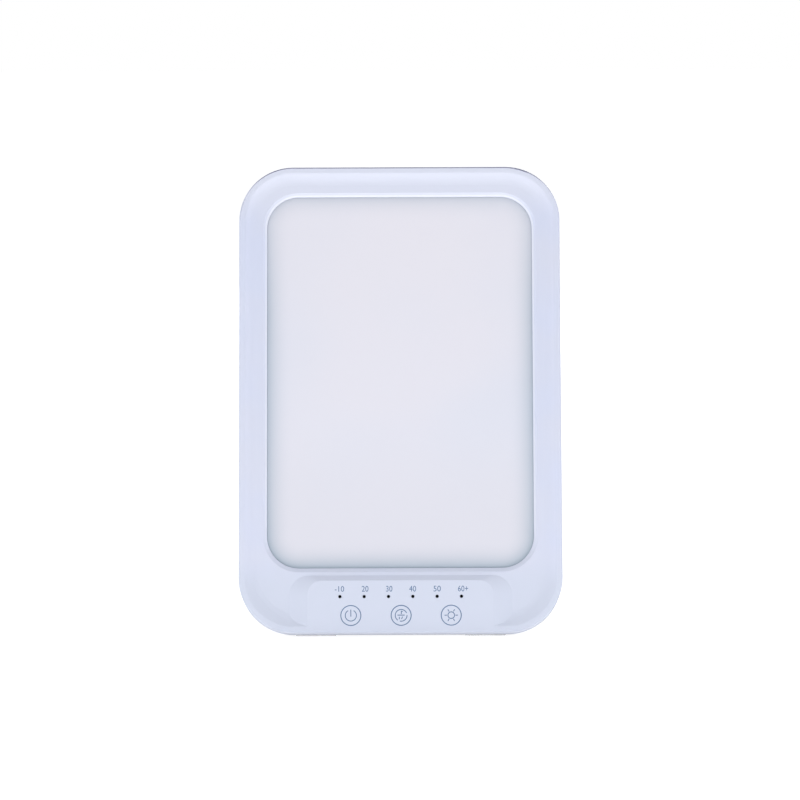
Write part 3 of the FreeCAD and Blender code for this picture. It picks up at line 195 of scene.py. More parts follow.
mouldedPlastic = {
    "colour": linear(216, 221, 239),
    "warmShift": linear(219, 222, 236),
    "lowPaintedShade": linear(213, 218, 232),  # painted shade low down and painted light at the top, not known of the real plastic
    "lowTo": (0.022, 0.04),
    "highPaintedLight": linear(222, 225, 238),
    "highFrom": (0.205, 0.225),
    "grain": 0.00022,  # spark-eroded texture of the mould
    "grainDepth": 0.000006,
    "flow": 0.035,  # slow waves of gloss left by the moulding
    "roughness": 0.42,
    "flowGloss": 0.08,
    "grainGloss": 0.12,
    "edgeGloss": 0.06,
    "edgeRadius": 0.0004,
    "edgeTurn": (0.01, 0.25),
    "wornColour": linear(228, 231, 243),
    "worn": 0.5,
    "refraction": 1.46,
    "seam": 0.00016,  # half the width of the line where the shells meet
    "seamColour": linear(150, 157, 178),
    "seamShade": 0.8,
    "seamGroove": 12.0,  # in heights of the grain
    "rimShade": linear(88, 88, 128),  # painted shade line along the top of the rim, there in any light
    "rimTurn": (0.1, 0.5),
    "rimDepth": (0.0007, 0.0011),
    "rimHeight": (0.216, 0.232),
    "rimStrength": 0.66,
    "rimWaver": 0.3,
    "lipPaintedHighlight": linear(250, 252, 255),  # painted highlight along the window's lip, there in any light
    "lipFrom": (0.0, 0.0003),
    "lipTo": (0.0006, 0.0011),
    "lipLow": (0.036, 0.06),
    "lipLowStrength": 0.3,
    "lipHigh": (0.19, 0.217),
    "lipHighStrength": 0.22,
    "lipTurn": (-0.99, -0.9),
    "lipDepth": (0.0055, 0.006),
}


def makeMouldedPlastic(name, settings, withSeam):
    material, tree = newFinish(name)
    place = tree.place()
    grain = tree.noise(place, settings["grain"], detail=2.0, roughness=0.6)
    flow = tree.noise(place, settings["flow"], detail=2.0)
    colour = tree.mixColour(flow.fade(0.3, 0.7), settings["colour"], settings["warmShift"])
    rounded = tree.add("ShaderNodeBevel", {"samples": 4}, {"Radius": settings["edgeRadius"]})
    flat = tree.add("ShaderNodeNewGeometry", output="Normal")
    edge = (1.0 - tree.dot(rounded, flat)).fade(*settings["edgeTurn"])
    colour = tree.mixColour(edge * settings["worn"], colour, settings["wornColour"])
    height = grain
    if withSeam:
        across, back, up = tree.split(tree.slabPlace())
        # painted shade low down and painted light at the top
        colour = tree.mixColour(1.0 - up.fade(*settings["lowTo"]), colour, settings["lowPaintedShade"])
        colour = tree.mixColour(up.fade(*settings["highFrom"]), colour, settings["highPaintedLight"])
        # painted shade line along the top front edge of the rim, on surfaces turned upward
        upward = tree.dot(flat, leanBack.to_3x3() @ Vector((0, 0, 1)))
        rim = upward.fade(*settings["rimTurn"]) * up.fade(*settings["rimHeight"])
        rim = rim * (1.0 - back.fade(*settings["rimDepth"]))
        rim = rim * (settings["rimStrength"] + flow * settings["rimWaver"])
        colour = tree.mixColour(rim, colour, settings["rimShade"])
        # painted highlight along the window's lip, strongest at the top and none at the bottom
        past = pastWindow(across, up)
        low = up.fade(*settings["lipLow"]) * settings["lipLowStrength"]
        high = up.fade(*settings["lipHigh"]) * settings["lipHighStrength"]
        lip = past.fade(*settings["lipFrom"]) * (1.0 - past.fade(*settings["lipTo"])) * (low + high)
        lip = lip * upward.fade(*settings["lipTurn"]) * (1.0 - back.fade(*settings["lipDepth"]))
        colour = tree.mixColour(lip, colour, settings["lipPaintedHighlight"])
        fromSeam = abs(back - slab["partingDepth"])
        seam = 1.0 - fromSeam.fade(settings["seam"] * 0.4, settings["seam"])
        colour = tree.mixColour(seam * settings["seamShade"], colour, settings["seamColour"])
        height = grain - seam * settings["seamGroove"]
    gloss = (flow - 0.5) * settings["flowGloss"] + (grain - 0.5) * settings["grainGloss"]
    roughness = settings["roughness"] + gloss - edge * settings["edgeGloss"]
    normal = tree.bump(height, settings["grainDepth"], normal=rounded)
    sockets = {"Base Color": colour, "Roughness": roughness, "Normal": normal}
    tree.surface({**sockets, "IOR": settings["refraction"]})
    return material


opalSheet = {
    "colour": linear(231, 229, 236),
    "second": linear(226, 227, 236),
    "cloud": 0.09,  # size of the slow change between the two
    "cloudTurn": (0.35, 0.65),
    "topPaintedLight": linear(235, 231, 236),  # painted light toward the top and painted shade low down, not known of the real sheet
    "warmFrom": (0.12, 0.2),
    "warmStrength": 0.5,
    "lowPaintedShade": linear(225, 224, 231),
    "lowTo": (0.05, 0.11),
    "lowStrength": 0.9,
    "edgeShade": linear(172, 186, 198),
    "edgeFade": 0.014,  # painted shade: a darker border beside the lip, there in any light
    "edgePower": 2.5,
    "midFrom": (0.035, 0.07),  # and less of it toward the top
    "midLess": 0.22,
    "topFrom": (0.15, 0.212),
    "topLess": 0.3,
    "roughness": 0.5,
    "dimple": 0.0006,
    "dimpleDepth": 0.000004,
    "dimpleGloss": 0.15,
}


def makeOpalSheet(name, settings):
    material, tree = newFinish(name)
    across, back, up = tree.split(tree.slabPlace())
    # painted shade: a darker border of the sheet beside the lip, less of it toward the top
    inward = (pastWindow(across, up) / -settings["edgeFade"]).larger(0.0).smaller(1.0)
    midLess = up.fade(*settings["midFrom"]) * settings["midLess"]
    topLess = up.fade(*settings["topFrom"]) * settings["topLess"]
    band = (1.0 - inward) ** settings["edgePower"] * (1.0 - midLess - topLess)
    cloud = tree.noise(tree.place(), settings["cloud"], detail=1.0).fade(*settings["cloudTurn"])
    # painted light, lighter and warmer toward the top, and painted shade low down
    warm = up.fade(*settings["warmFrom"]) * settings["warmStrength"]
    low = (1.0 - up.fade(*settings["lowTo"])) * settings["lowStrength"]
    colour = tree.mixColour(cloud, settings["colour"], settings["second"])
    colour = tree.mixColour(warm, colour, settings["topPaintedLight"])
    colour = tree.mixColour(low, colour, settings["lowPaintedShade"])
    colour = tree.mixColour(band, colour, settings["edgeShade"])
    dimples = tree.noise(tree.place(), settings["dimple"], detail=1.0)
    normal = tree.bump(dimples, settings["dimpleDepth"])
    roughness = settings["roughness"] + (dimples - 0.5) * settings["dimpleGloss"]
    tree.surface({"Base Color": colour, "Roughness": roughness, "Normal": normal})
    return material


grained = {"broad": 25, "toneTurn": (0.3, 0.7), "gloss": 0.15}


def makeGrained(
    name, colour, second, roughness, grain, depth, metallic=0.0, stretch=None, coat=0.0, shine=0.5, solid=1.0
):
    # the plain materials: a fine grain, drawn out one way where it is brushed or rolled
    material, tree = newFinish(name)
    place = tree.place()
    fine = tree.noise(place, grain, detail=3.0, roughness=0.6, stretch=stretch)
    broad = tree.noise(place, grain * grained["broad"], detail=2.0)
    tone = (fine * 0.5 + broad * 0.5).fade(*grained["toneTurn"])
    sockets = {
        "Base Color": tree.mixColour(tone, colour, second),
        "Roughness": roughness + (fine - 0.5) * grained["gloss"],
        "Metallic": metallic,
        "Normal": tree.bump(fine, depth),
        "Coat Weight": coat,
        "Specular IOR Level": shine,
        "Alpha": solid,
    }
    tree.surface(sockets)
    return material


plainFinishes = {
    "clearSilicone": {  # shown nearly clear, though the record's soft_rubber is matt pale grey
        "nodes": ["bottom_feet", "stand_foot_pads"],
        "colour": linear(238, 240, 244), "second": linear(230, 233, 238),
        "roughness": 0.5, "grain": 0.0003, "depth": 0.00002, "solid": 0.28,
    },
    "zincSteel": {
        "nodes": ["hinge_pins", "plate_screws", "board_screws"],
        "colour": linear(186, 188, 192), "second": linear(166, 168, 172),
        "roughness": 0.32, "grain": 0.0002, "depth": 0.000003, "metallic": 1.0,
    },
    "springSteel": {
        "nodes": ["touch_springs"],
        "colour": linear(196, 195, 190), "second": linear(178, 177, 172),
        "roughness": 0.25, "grain": 0.0003, "depth": 0.000002, "metallic": 1.0, "stretch": (1, 6, 1),
    },
    "rolledAluminium": {
        "nodes": ["back_plate"],
        "colour": linear(205, 207, 211), "second": linear(188, 190, 195),
        "roughness": 0.36, "grain": 0.0004, "depth": 0.000004, "metallic": 1.0, "stretch": (1, 1, 0.02),
    },
    "canMetal": {
        "nodes": ["storage_capacitors"],
        "colour": linear(212, 213, 216), "second": linear(196, 197, 201),
        "roughness": 0.28, "grain": 0.0002, "depth": 0.000002, "metallic": 1.0,
    },
    "platedBrass": {
        "nodes": ["dc_jack_pin"],
        "colour": linear(222, 216, 200), "second": linear(206, 199, 182),
        "roughness": 0.2, "grain": 0.0002, "depth": 0.000001, "metallic": 1.0,
    },
    "blackPlastic": {
        "nodes": ["dc_jack"],
        "colour": linear(38, 38, 41), "second": linear(48, 48, 51),
        "roughness": 0.45, "grain": 0.0002, "depth": 0.000004,
    },
    "smokedPlastic": {
        "nodes": ["indicator_light_pipe"],
        "colour": linear(4, 4, 6), "second": linear(9, 9, 12),
        "roughness": 0.5, "grain": 0.0003, "depth": 0.000001, "shine": 0.05,
    },
    "naturalNylon": {
        "nodes": ["led_connectors", "friction_washers"],
        "colour": linear(236, 233, 222), "second": linear(226, 222, 210),
        "roughness": 0.5, "grain": 0.0003, "depth": 0.000004,
    },
    "whiteFilm": {
        "nodes": ["reflector_sheet", "led_cables", "left_led_board", "right_led_board"],
        "colour": linear(243, 243, 240), "second": linear(234, 234, 230),
        "roughness": 0.6, "grain": 0.0004, "depth": 0.000002,
    },
    "clearAcrylic": {
        "nodes": ["light_guide_plate", "prism_film"],
        "colour": linear(232, 240, 243), "second": linear(222, 232, 237),
        "roughness": 0.12, "grain": 0.0006, "depth": 0.000002, "stretch": (1, 1, 0.05),
    },
    "blackFoam": {
        "nodes": ["diffuser_gasket"],
        "colour": linear(48, 48, 51), "second": linear(34, 34, 37),
        "roughness": 0.9, "grain": 0.0003, "depth": 0.00006,
    },
    "phosphor": {
        "nodes": ["left_leds", "right_leds", "indicator_leds"],
        "colour": linear(240, 222, 120), "second": linear(228, 205, 92),
        "roughness": 0.3, "grain": 0.0003, "depth": 0.000004,
    },
    "solderMask": {
        "nodes": ["control_board"],
        "colour": linear(38, 104, 66), "second": linear(30, 88, 56),
        "roughness": 0.35, "grain": 0.0008, "depth": 0.00001, "coat": 0.4,
    },
    "darkEpoxy": {
        "nodes": ["control_chip", "driver_inductor"],
        "colour": linear(44, 44, 46), "second": linear(56, 56, 58),
        "roughness": 0.6, "grain": 0.0002, "depth": 0.00001,
    },
}


def wear(node, material):
    slots = cadNodes[node].data.materials
    slots.clear()
    slots.append(material)


shellPlastic = makeMouldedPlastic("shellPlastic", mouldedPlastic, withSeam=True)
legPlastic = makeMouldedPlastic("legPlastic", mouldedPlastic, withSeam=False)
wear("front_bezel", shellPlastic)
wear("rear_cover", shellPlastic)
wear("stand_leg", legPlastic)
wear("diffuser_panel", makeOpalSheet("opalSheet", opalSheet))
finishes = {}
for finishName, finish in plainFinishes.items():
    options = {key: value for key, value in finish.items() if key != "nodes"}
    finishes[finishName] = makeGrained(finishName, **options)
    for node in finish["nodes"]:
        wear(node, finishes[finishName])
print("finishes made:", len(finishes) + 3)


# Printing on the control panel

ink = {
    "colour": linear(74, 106, 144),
    "second": linear(86, 117, 154),
    "roughness": 0.5,
    "grain": 0.0003,
    "depth": 0.000002,
    "proud": 0.00002,  # how far the print stands up from the plastic
    "sunk": 0.00001,
}
inkThick = ink["proud"] + ink["sunk"]
inkMiddle = (ink["proud"] - ink["sunk"]) / 2
inkFinish = makeGrained(
    "printedInk", ink["colour"], ink["second"], ink["roughness"], ink["grain"], ink["depth"]
)


def toPiece(name, mesh, body, material):
    mesh.materials.clear()
    mesh.materials.append(material)
    piece = bpy.data.objects.new(name, mesh)
    bpy.context.scene.collection.objects.link(piece)
    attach(piece, body)
    return piece


def meshOf(piece):
    # the piece's shape with its modifiers applied, as a plain mesh
    graph = bpy.context.evaluated_depsgraph_get()
    graph.update()
    return bpy.data.meshes.new_from_object(piece.evaluated_get(graph))


def joinMeshes(name, meshes):
    points, faces = [], []
    for mesh in meshes:
        start = len(points)
        points += [vertex.co.copy() for vertex in mesh.vertices]
        faces += [[start + index for index in face.vertices] for face in mesh.polygons]
    joined = bpy.data.meshes.new(name)
    joined.from_pydata(points, [], faces)
    joined.update()
    return joined


def layOnPanel(mesh):
    # from a drawing (across, up, out of the page) to the panel's face
    turn = Matrix(((1, 0, 0, 0), (0, 0, -1, 0), (0, 1, 0, 0), (0, 0, 0, 1)))
    mesh.transform(slabToRoom @ turn)
    return mesh


timeMarks = {
    "marks": [  # text, left and right ends
        ("-10", -0.0325, -0.0279),
        ("20", -0.0192, -0.0159),
        ("30", -0.0072, -0.0041),
        ("40", 0.0042, 0.0076),
        ("50", 0.0162, 0.0198),
        ("60+", 0.0283, 0.0333),
    ],
    "low": 0.0201,
    "high": 0.02295,
    "curveSteps": 4,
}


def makeTimeMarks(settings):
    meshes = []
    for text, left, right in settings["marks"]:
        curve = bpy.data.curves.new("mark", "FONT")
        curve.body = text
        curve.extrude = 0.5  # any depth, since the writing is scaled to its place
        curve.resolution_u = settings["curveSteps"]
        writing = bpy.data.objects.new("mark", curve)
        bpy.context.scene.collection.objects.link(writing)
        mesh = meshOf(writing)
        bpy.data.objects.remove(writing)
        low = Vector([min(vertex.co[axis] for vertex in mesh.vertices) for axis in range(3)])
        high = Vector([max(vertex.co[axis] for vertex in mesh.vertices) for axis in range(3)])
        wanted = (right - left, settings["high"] - settings["low"], inkThick)
        scale = [wanted[axis] / (high - low)[axis] for axis in range(3)]
        start = Vector((left, settings["low"], -ink["sunk"]))
        for vertex in mesh.vertices:
            step = vertex.co - low
            vertex.co = start + Vector([step[axis] * scale[axis] for axis in range(3)])
        meshes.append(mesh)
    return layOnPanel(joinMeshes("time_marks", meshes))


toPiece("time_marks", makeTimeMarks(timeMarks), "housing", inkFinish)
print("time marks printed")


def nodeTree(name, inputs):
    # an empty geometry tree with named sizes
    tree = bpy.data.node_groups.new(name, "GeometryNodeTree")
    tree.interface.new_socket("Geometry", in_out="INPUT", socket_type="NodeSocketGeometry")
    for label, kind, value in inputs:
        socket = tree.interface.new_socket(label, in_out="INPUT", socket_type=kind)
        if value is not None:
            socket.default_value = value
    tree.interface.new_socket("Geometry", in_out="OUTPUT", socket_type="NodeSocketGeometry")
    return tree, tree.nodes.new("NodeGroupInput"), tree.nodes.new("NodeGroupOutput")


def geometryNode(tree, kind, settings=None, sockets=None):
    node = tree.nodes.new(kind)
    for name, value in (settings or {}).items():
        setattr(node, name, value)
    for key, value in (sockets or {}).items():
        if isinstance(value, bpy.types.NodeSocket):
            tree.links.new(value, node.inputs[key])
        else:
            node.inputs[key].default_value = value
    return node


def finishTree(tree, copies, material, end):
    # real geometry with its material, as every tree ends
    real = geometryNode(tree, "GeometryNodeRealizeInstances", sockets={0: copies.outputs["Instances"]})
    sockets = {"Geometry": real.outputs[0], "Material": material}
    finished = geometryNode(tree, "GeometryNodeSetMaterial", sockets=sockets)
    tree.links.new(finished.outputs["Geometry"], end.inputs[0])
    return tree


def runTree(tree, values, points):
    # runs a tree on loose points and gives the result as a plain mesh
    mesh = bpy.data.meshes.new(tree.name)
    mesh.from_pydata(points, [], [])
    holder = bpy.data.objects.new(tree.name, mesh)
    bpy.context.scene.collection.objects.link(holder)
    modifier = holder.modifiers.new(tree.name, "NODES")
    modifier.node_group = tree
    for item in tree.interface.items_tree:
        if item.item_type == "SOCKET" and item.in_out == "INPUT" and item.name in values:
            modifier[item.identifier] = values[item.name]
    made = meshOf(holder)
    holder.modifiers.clear()
    bpy.data.objects.remove(holder)
    return made


coverScrew = {
    "places": [(0.048, 0.2266), (-0.048, 0.2266), (0.066, 0.014), (-0.066, 0.014)],  # across, up
    "seat": 0.013,  # depth of the head's underside
    "headRadius": 0.0025,
    "headThick": 0.0018,
    "headRound": 0.0009,
    "headDome": 0.00012,  # fall from the middle of the head to its edge
    "headDrop": 0.0001,
    "headRings": 22,
    "shoulderRings": 5,
    "crossReach": 0.00145,
    "crossHalf": 0.00034,
    "crossWall": 0.00022,
    "crossDepth": 0.0011,
    "crossSlope": 0.45,
    "shankRadius": 0.0011,
    "shankLong": 0.007,
    "threadPitch": 0.0009,
    "threadDepth": 0.00028,
    "threadRings": 44,
    "tipLong": 0.0012,
    "tipShare": 0.35,  # of the shank's radius
    "turnSteps": 48,
}


def screwMesh(settings):
    # one screw along +Z, its head's underside at zero
    steps = settings["turnSteps"]
    radius, thick, curve = settings["headRadius"], settings["headThick"], settings["headRound"]
    rings = []  # each a list of (x, y, z)

    def ring(reach, heightAt):
        row = []
        for index in range(steps):
            turn = math.tau * index / steps
            x, y = reach * math.cos(turn), reach * math.sin(turn)
            row.append((x, y, heightAt(x, y)))
        rings.append(row)

    def crossDip(x, y):
        low, high = sorted((abs(x), abs(y)))
        inside = min(settings["crossHalf"] - low, settings["crossReach"] - high)
        share = min(max(inside / settings["crossWall"] + 0.5, 0.0), 1.0)
        slope = 1 - settings["crossSlope"] * math.hypot(x, y) / settings["crossReach"]
        return settings["crossDepth"] * share * slope

    for index in range(1, settings["headRings"] + 1):
        reach = (radius - curve) * index / settings["headRings"]
        dome = thick - settings["headDome"] * (reach / radius) ** 2
        ring(reach, lambda x, y, dome=dome: dome - crossDip(x, y))
    for index in range(1, settings["shoulderRings"] + 1):
        turn = math.radians(90 * index / settings["shoulderRings"])
        shoulder = thick - curve * (1 - math.cos(turn)) - settings["headDrop"]
        ring(radius - curve + curve * math.sin(turn), lambda x, y, shoulder=shoulder: shoulder)
    ring(radius, lambda x, y: 0.0)
    ring(settings["shankRadius"], lambda x, y: 0.0)
    for index in range(1, settings["threadRings"] + 1):
        depth = settings["shankLong"] * index / settings["threadRings"]
        point = min(1.0, (settings["shankLong"] - depth) / settings["tipLong"])
        taper = settings["tipShare"] + (1 - settings["tipShare"]) * point
        row = []
        for step in range(steps):
            turn = math.tau * step / steps
            phase = (depth / settings["threadPitch"] - step / steps) % 1.0
            ridge = abs(2 * phase - 1) * settings["threadDepth"]
            reach = (settings["shankRadius"] - ridge) * taper
            row.append((reach * math.cos(turn), reach * math.sin(turn), -depth))
        rings.append(row)
    points = [(0, 0, thick - crossDip(0, 0))] + [point for row in rings for point in row]
    points.append((0, 0, -settings["shankLong"]))
    faces = [[0, 1 + step, 1 + (step + 1) % steps] for step in range(steps)]
    for row in range(len(rings) - 1):
        start = 1 + row * steps
        for step in range(steps):
            after = (step + 1) % steps
            faces.append([start + step, start + steps + step, start + steps + after, start + after])
    last = 1 + (len(rings) - 1) * steps
    faces += [[len(points) - 1, last + (step + 1) % steps, last + step] for step in range(steps)]
    mesh = bpy.data.meshes.new("screw")
    mesh.from_pydata(points, [], faces)
    mesh.update()
    return mesh


def screwTree():
    # a screw at every point
    inputs = [("Screw", "NodeSocketObject", None), ("Metal", "NodeSocketMaterial", None)]
    tree, start, end = nodeTree("coverScrews", inputs)
    given = start.outputs
    single = geometryNode(tree, "GeometryNodeObjectInfo", sockets={"Object": given["Screw"]})
    copies = geometryNode(
        tree,
        "GeometryNodeInstanceOnPoints",
        sockets={"Points": given["Geometry"], "Instance": single.outputs["Geometry"]},
    )
    return finishTree(tree, copies, given["Metal"], end)


keyRings = {
    "centres": [-0.0246, 0.0002, 0.0249],
    "height": 0.00835,
    "radius": 0.00493,
    "line": 0.00046,
    "steps": 72,
}


def ringTree():
    # a printed ring at every point
    sizes = [
        ("Radius", "NodeSocketFloat", 0.005),
        ("Line", "NodeSocketFloat", 0.0005),
        ("Thickness", "NodeSocketFloat", 0.00003),
        ("Steps", "NodeSocketInt", 72),
        ("Ink", "NodeSocketMaterial", None),
    ]
    tree, start, end = nodeTree("printedRings", sizes)
    given = start.outputs
    circle = geometryNode(
        tree,
        "GeometryNodeCurvePrimitiveCircle",
        sockets={"Resolution": given["Steps"], "Radius": given["Radius"]},
    )
    section = geometryNode(
        tree,
        "GeometryNodeCurvePrimitiveQuadrilateral",
        sockets={"Width": given["Line"], "Height": given["Thickness"]},
    )
    ring = geometryNode(
        tree,
        "GeometryNodeCurveToMesh",
        sockets={"Curve": circle.outputs["Curve"], "Profile Curve": section.outputs["Curve"]},
    )
    copies = geometryNode(
        tree,
        "GeometryNodeInstanceOnPoints",
        sockets={"Points": given["Geometry"], "Instance": ring.outputs["Mesh"]},
    )
    return finishTree(tree, copies, given["Ink"], end)


def rayTree():
    # short strokes that point away from every point, evenly spaced round it
    sizes = [
        ("Count", "NodeSocketInt", 6),
        ("Inner", "NodeSocketFloat", 0.002),
        ("Length", "NodeSocketFloat", 0.001),
        ("Line", "NodeSocketFloat", 0.0004),
        ("Thickness", "NodeSocketFloat", 0.00003),
        ("Ink", "NodeSocketMaterial", None),
    ]
    tree, start, end = nodeTree("printedRays", sizes)
    given = start.outputs
    times, plus, over = [{"operation": word} for word in ("MULTIPLY", "ADD", "DIVIDE")]
    half = geometryNode(tree, "ShaderNodeMath", times, {0: given["Length"], 1: 0.5})
    middle = geometryNode(tree, "ShaderNodeMath", plus, {0: given["Inner"], 1: half.outputs[0]})
    size = geometryNode(
        tree,
        "ShaderNodeCombineXYZ",
        sockets={0: given["Length"], 1: given["Line"], 2: given["Thickness"]},
    )
    stroke = geometryNode(tree, "GeometryNodeMeshCube", sockets={"Size": size.outputs[0]})
    offset = geometryNode(tree, "ShaderNodeCombineXYZ", sockets={0: middle.outputs[0]})
    moved = geometryNode(
        tree,
        "GeometryNodeTransform",
        sockets={"Geometry": stroke.outputs["Mesh"], "Translation": offset.outputs[0]},
    )
    spread = geometryNode(
        tree,
        "GeometryNodeDuplicateElements",
        {"domain": "POINT"},
        {"Geometry": given["Geometry"], "Amount": given["Count"]},
    )
    step = geometryNode(tree, "ShaderNodeMath", over, {0: math.tau, 1: given["Count"]})
    turns = {0: step.outputs[0], 1: spread.outputs["Duplicate Index"]}
    angle = geometryNode(tree, "ShaderNodeMath", times, turns)
    turn = geometryNode(tree, "ShaderNodeCombineXYZ", sockets={2: angle.outputs[0]})
    copies = geometryNode(
        tree,
        "GeometryNodeInstanceOnPoints",
        sockets={
            "Points": spread.outputs["Geometry"],
            "Instance": moved.outputs["Geometry"],
            "Rotation": turn.outputs[0],
        },
    )
    return finishTree(tree, copies, given["Ink"], end)


ringCentres = [(across, keyRings["height"], inkMiddle) for across in keyRings["centres"]]
ringSizes = {
    "Radius": keyRings["radius"],
    "Line": keyRings["line"],
    "Thickness": inkThick,
    "Steps": keyRings["steps"],
    "Ink": inkFinish,
}
ringMesh = runTree(ringTree(), ringSizes, ringCentres)

symbols = {
    "line": 0.00042,
    "powerRadius": 0.00275,
    "powerGap": math.radians(29),  # half the gap at the top of the ring
    "powerBar": [(0, -0.0006), (0, 0.0029)],
    "timerRadius": 0.0029,  # clock face: a broken ring, hands and short marks
    "timerArcs": [(23, 236), (257, 362)],  # degrees
    "timerStrokes": [
        [(-0.0018, 0.0001), (0.0017, 0.0001)],
        [(0.0001, 0.0006), (0.0001, 0.0023)],
        [(0.0002, 0.0019), (0.0008, 0.0019)],
        [(-0.0009, -0.0007), (-0.0009, -0.0019)],
        [(0.0007, -0.0006), (0.0002, -0.0018)],
    ],
    "sunRadius": 0.00162,
    "sunRays": 6,
    "sunRayInner": 0.0021,
    "sunRayLength": 0.0012,
    "stepAngle": math.radians(5),
}


def ribbon(points, width):
    # a flat printed stroke through points on the page
    low, high = -ink["sunk"], ink["proud"]
    rings = []
    for index, point in enumerate(points):
        before = points[max(index - 1, 0)]
        after = points[min(index + 1, len(points) - 1)]
        along = (Vector(after) - Vector(before)).normalized()
        side = Vector((-along.y, along.x)) * (width / 2)
        left, right = Vector(point) + side, Vector(point) - side
        corners = [(left, low), (right, low), (right, high), (left, high)]
        rings.append([(corner.x, corner.y, level) for corner, level in corners])
    vertices = [corner for ring in rings for corner in ring]
    faces = [[3, 2, 1, 0], [len(vertices) - 4 + corner for corner in range(4)]]
    for index in range(len(rings) - 1):
        start = 4 * index
        for corner in range(4):
            after = (corner + 1) % 4
            faces.append([start + corner, start + after, start + 4 + after, start + 4 + corner])
    mesh = bpy.data.meshes.new("stroke")
    mesh.from_pydata(vertices, [], faces)
    return mesh


def arcPoints(centre, radius, start, end):
    steps = max(2, round(abs(end - start) / symbols["stepAngle"]))
    turns = [start + (end - start) * index / steps for index in range(steps + 1)]
    return [(centre[0] + radius * math.cos(turn), centre[1] + radius * math.sin(turn)) for turn in turns]


def strokeAt(centre, stroke):
    return [(centre[0] + x, centre[1] + y) for x, y in stroke]


def makeSymbols(settings):
    power, timer, sun = [(across, keyRings["height"]) for across in keyRings["centres"]]
    width = settings["line"]
    top, gap = math.pi / 2, settings["powerGap"]
    strokes = [arcPoints(power, settings["powerRadius"], top + gap, top + math.tau - gap)]
    strokes.append(strokeAt(power, settings["powerBar"]))
    for start, end in settings["timerArcs"]:
        strokes.append(arcPoints(timer, settings["timerRadius"], math.radians(start), math.radians(end)))
    strokes += [strokeAt(timer, stroke) for stroke in settings["timerStrokes"]]
    strokes.append(arcPoints(sun, settings["sunRadius"], 0, math.tau))
    meshes = [ribbon(points, width) for points in strokes]
    raySizes = {
        "Count": settings["sunRays"],
        "Inner": settings["sunRayInner"],
        "Length": settings["sunRayLength"],
        "Line": width,
        "Thickness": inkThick,
        "Ink": inkFinish,
    }
    meshes.append(runTree(rayTree(), raySizes, [(sun[0], sun[1], inkMiddle)]))
    return meshes


singleScrew = bpy.data.objects.new("singleScrew", screwMesh(coverScrew))
bpy.context.scene.collection.objects.link(singleScrew)
screwCentres = [(across, -up, 0) for across, up in coverScrew["places"]]
screws = runTree(screwTree(), {"Screw": singleScrew, "Metal": finishes["zincSteel"]}, screwCentres)
bpy.data.objects.remove(singleScrew)
facingBack = Matrix(((1, 0, 0, 0), (0, 0, 1, coverScrew["seat"]), (0, -1, 0, 0), (0, 0, 0, 1)))
screws.transform(slabToRoom @ facingBack)
coverScrews = toPiece("cover_screws", screws, "housing", finishes["zincSteel"])
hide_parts("housing_screws")
print("cover screws set")

symbolMesh = joinMeshes("key_symbols", [ringMesh] + makeSymbols(symbols))
toPiece("key_symbols", layOnPanel(symbolMesh), "housing", inkFinish)
print("key symbols printed")


# Camera, light and floor

camera = {
    "elevation": math.radians(7.1),
    "distance": 2.12,
    "aimHeight": 0.1142,  # up the slab
    "lens": 192.2,
    "roll": math.radians(-0.2),
    "shift": (0.0, 0.0033),
}


def makeCamera(settings):
    data = bpy.data.cameras.new("camera")
    data.sensor_width = 36
    data.lens = settings["lens"]
    data.shift_x, data.shift_y = settings["shift"]
    made = bpy.data.objects.new("camera", data)
    bpy.context.scene.collection.objects.link(made)
    aim = slabToRoom @ Vector((0, 0, settings["aimHeight"]))
    back = Vector((0, -math.cos(settings["elevation"]), math.sin(settings["elevation"])))
    made.location = aim + back * settings["distance"]
    facing = (-back).to_track_quat("-Z", "Y") @ Quaternion((0, 0, 1), settings["roll"])
    made.rotation_euler = facing.to_euler()
    bpy.context.scene.camera = made


makeCamera(camera)

softboxes = {
    "front": {"at": (0.0, -1.9, 0.30), "aim": (0, 0, 0.12), "size": (2.0, 1.2), "power": 6.0},
    "above": {"at": (0.0, -0.6, 1.6), "aim": (0, 0, 0.1), "size": (1.8, 1.2), "power": 6.0},
    "low": {"at": (0.0, -0.675, 0.001), "aim": (0, -0.675, 1.0), "size": (2.4, 1.26), "power": 9.0},
    "under": {"at": (0.0, -0.030, 0.001), "aim": (0, -0.030, 1.0), "size": (0.15, 0.028), "power": 0.003},
    "left": {"at": (-1.5, -0.3, 0.6), "aim": (0, 0, 0.1), "size": (0.9, 0.9), "power": 3.0},
    "right": {"at": (1.5, -0.3, 0.6), "aim": (0, 0, 0.1), "size": (0.9, 0.9), "power": 3.0},
    "behind": {"at": (0.3, 1.6, 0.45), "aim": (0, 0, 0.1), "size": (1.4, 0.8), "power": 10.0},
}


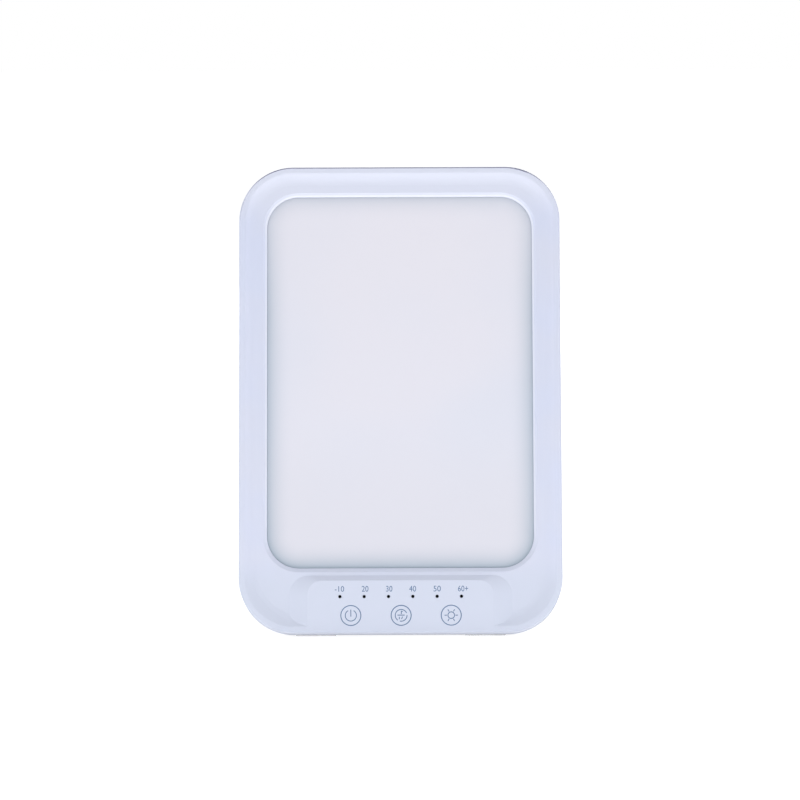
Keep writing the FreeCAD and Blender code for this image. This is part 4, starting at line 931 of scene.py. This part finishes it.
def makeSoftbox(name, settings):
    data = bpy.data.lights.new(name, "AREA")
    data.shape = "RECTANGLE"
    data.size, data.size_y = settings["size"]
    data.energy = settings["power"]
    made = bpy.data.objects.new(name, data)
    bpy.context.scene.collection.objects.link(made)
    made.location = settings["at"]
    toward = Vector(settings["aim"]) - made.location
    made.rotation_euler = toward.to_track_quat("-Z", "Y").to_euler()
    made.visible_camera = False


for boxName, box in softboxes.items():
    makeSoftbox(boxName, box)

room = {"ambient": linear(232, 236, 246), "ambientStrength": 0.42, "white": (1, 1, 1, 1)}


def makeRoom(settings):
    world = bpy.data.worlds.new("room")
    bpy.context.scene.world = world
    world.use_nodes = True
    tree = Tree(world.node_tree)
    ambientSockets = {"Color": settings["ambient"], "Strength": settings["ambientStrength"]}
    ambient = tree.add("ShaderNodeBackground", sockets=ambientSockets)
    white = tree.add("ShaderNodeBackground", sockets={"Color": settings["white"], "Strength": 1.0})
    both = tree.add("ShaderNodeMixShader", sockets={0: tree.seenRay(), 1: ambient, 2: white})
    tree.add("ShaderNodeOutputWorld", sockets={"Surface": both})


makeRoom(room)

floor = {
    "reach": 6.0,
    "bounce": (0.8, 0.81, 0.83, 1),
    "shown": (0.5, 0.5, 0.5, 1),
    "glow": 0.86,
}


def makeFloor(settings):
    reach = settings["reach"]
    mesh = bpy.data.meshes.new("floor")
    corners = [(-reach, -reach, 0), (reach, -reach, 0), (reach, reach, 0), (-reach, reach, 0)]
    mesh.from_pydata(corners, [], [[0, 1, 2, 3]])
    made = bpy.data.objects.new("floor", mesh)
    bpy.context.scene.collection.objects.link(made)
    material, tree = newFinish("floorPaint")
    bounce = tree.add("ShaderNodeBsdfDiffuse", sockets={"Color": settings["bounce"]})
    shown = tree.add("ShaderNodeBsdfDiffuse", sockets={"Color": settings["shown"]})
    glow = tree.add("ShaderNodeEmission", sockets={"Color": (1, 1, 1, 1), "Strength": settings["glow"]})
    lit = tree.add("ShaderNodeAddShader", sockets={0: shown, 1: glow})
    both = tree.add("ShaderNodeMixShader", sockets={0: tree.seenRay(), 1: bounce, 2: lit})
    tree.add("ShaderNodeOutputMaterial", sockets={"Surface": both})
    mesh.materials.append(material)


makeFloor(floor)
bpy.context.scene.view_settings.view_transform = "Standard"
print("camera, light and floor set")
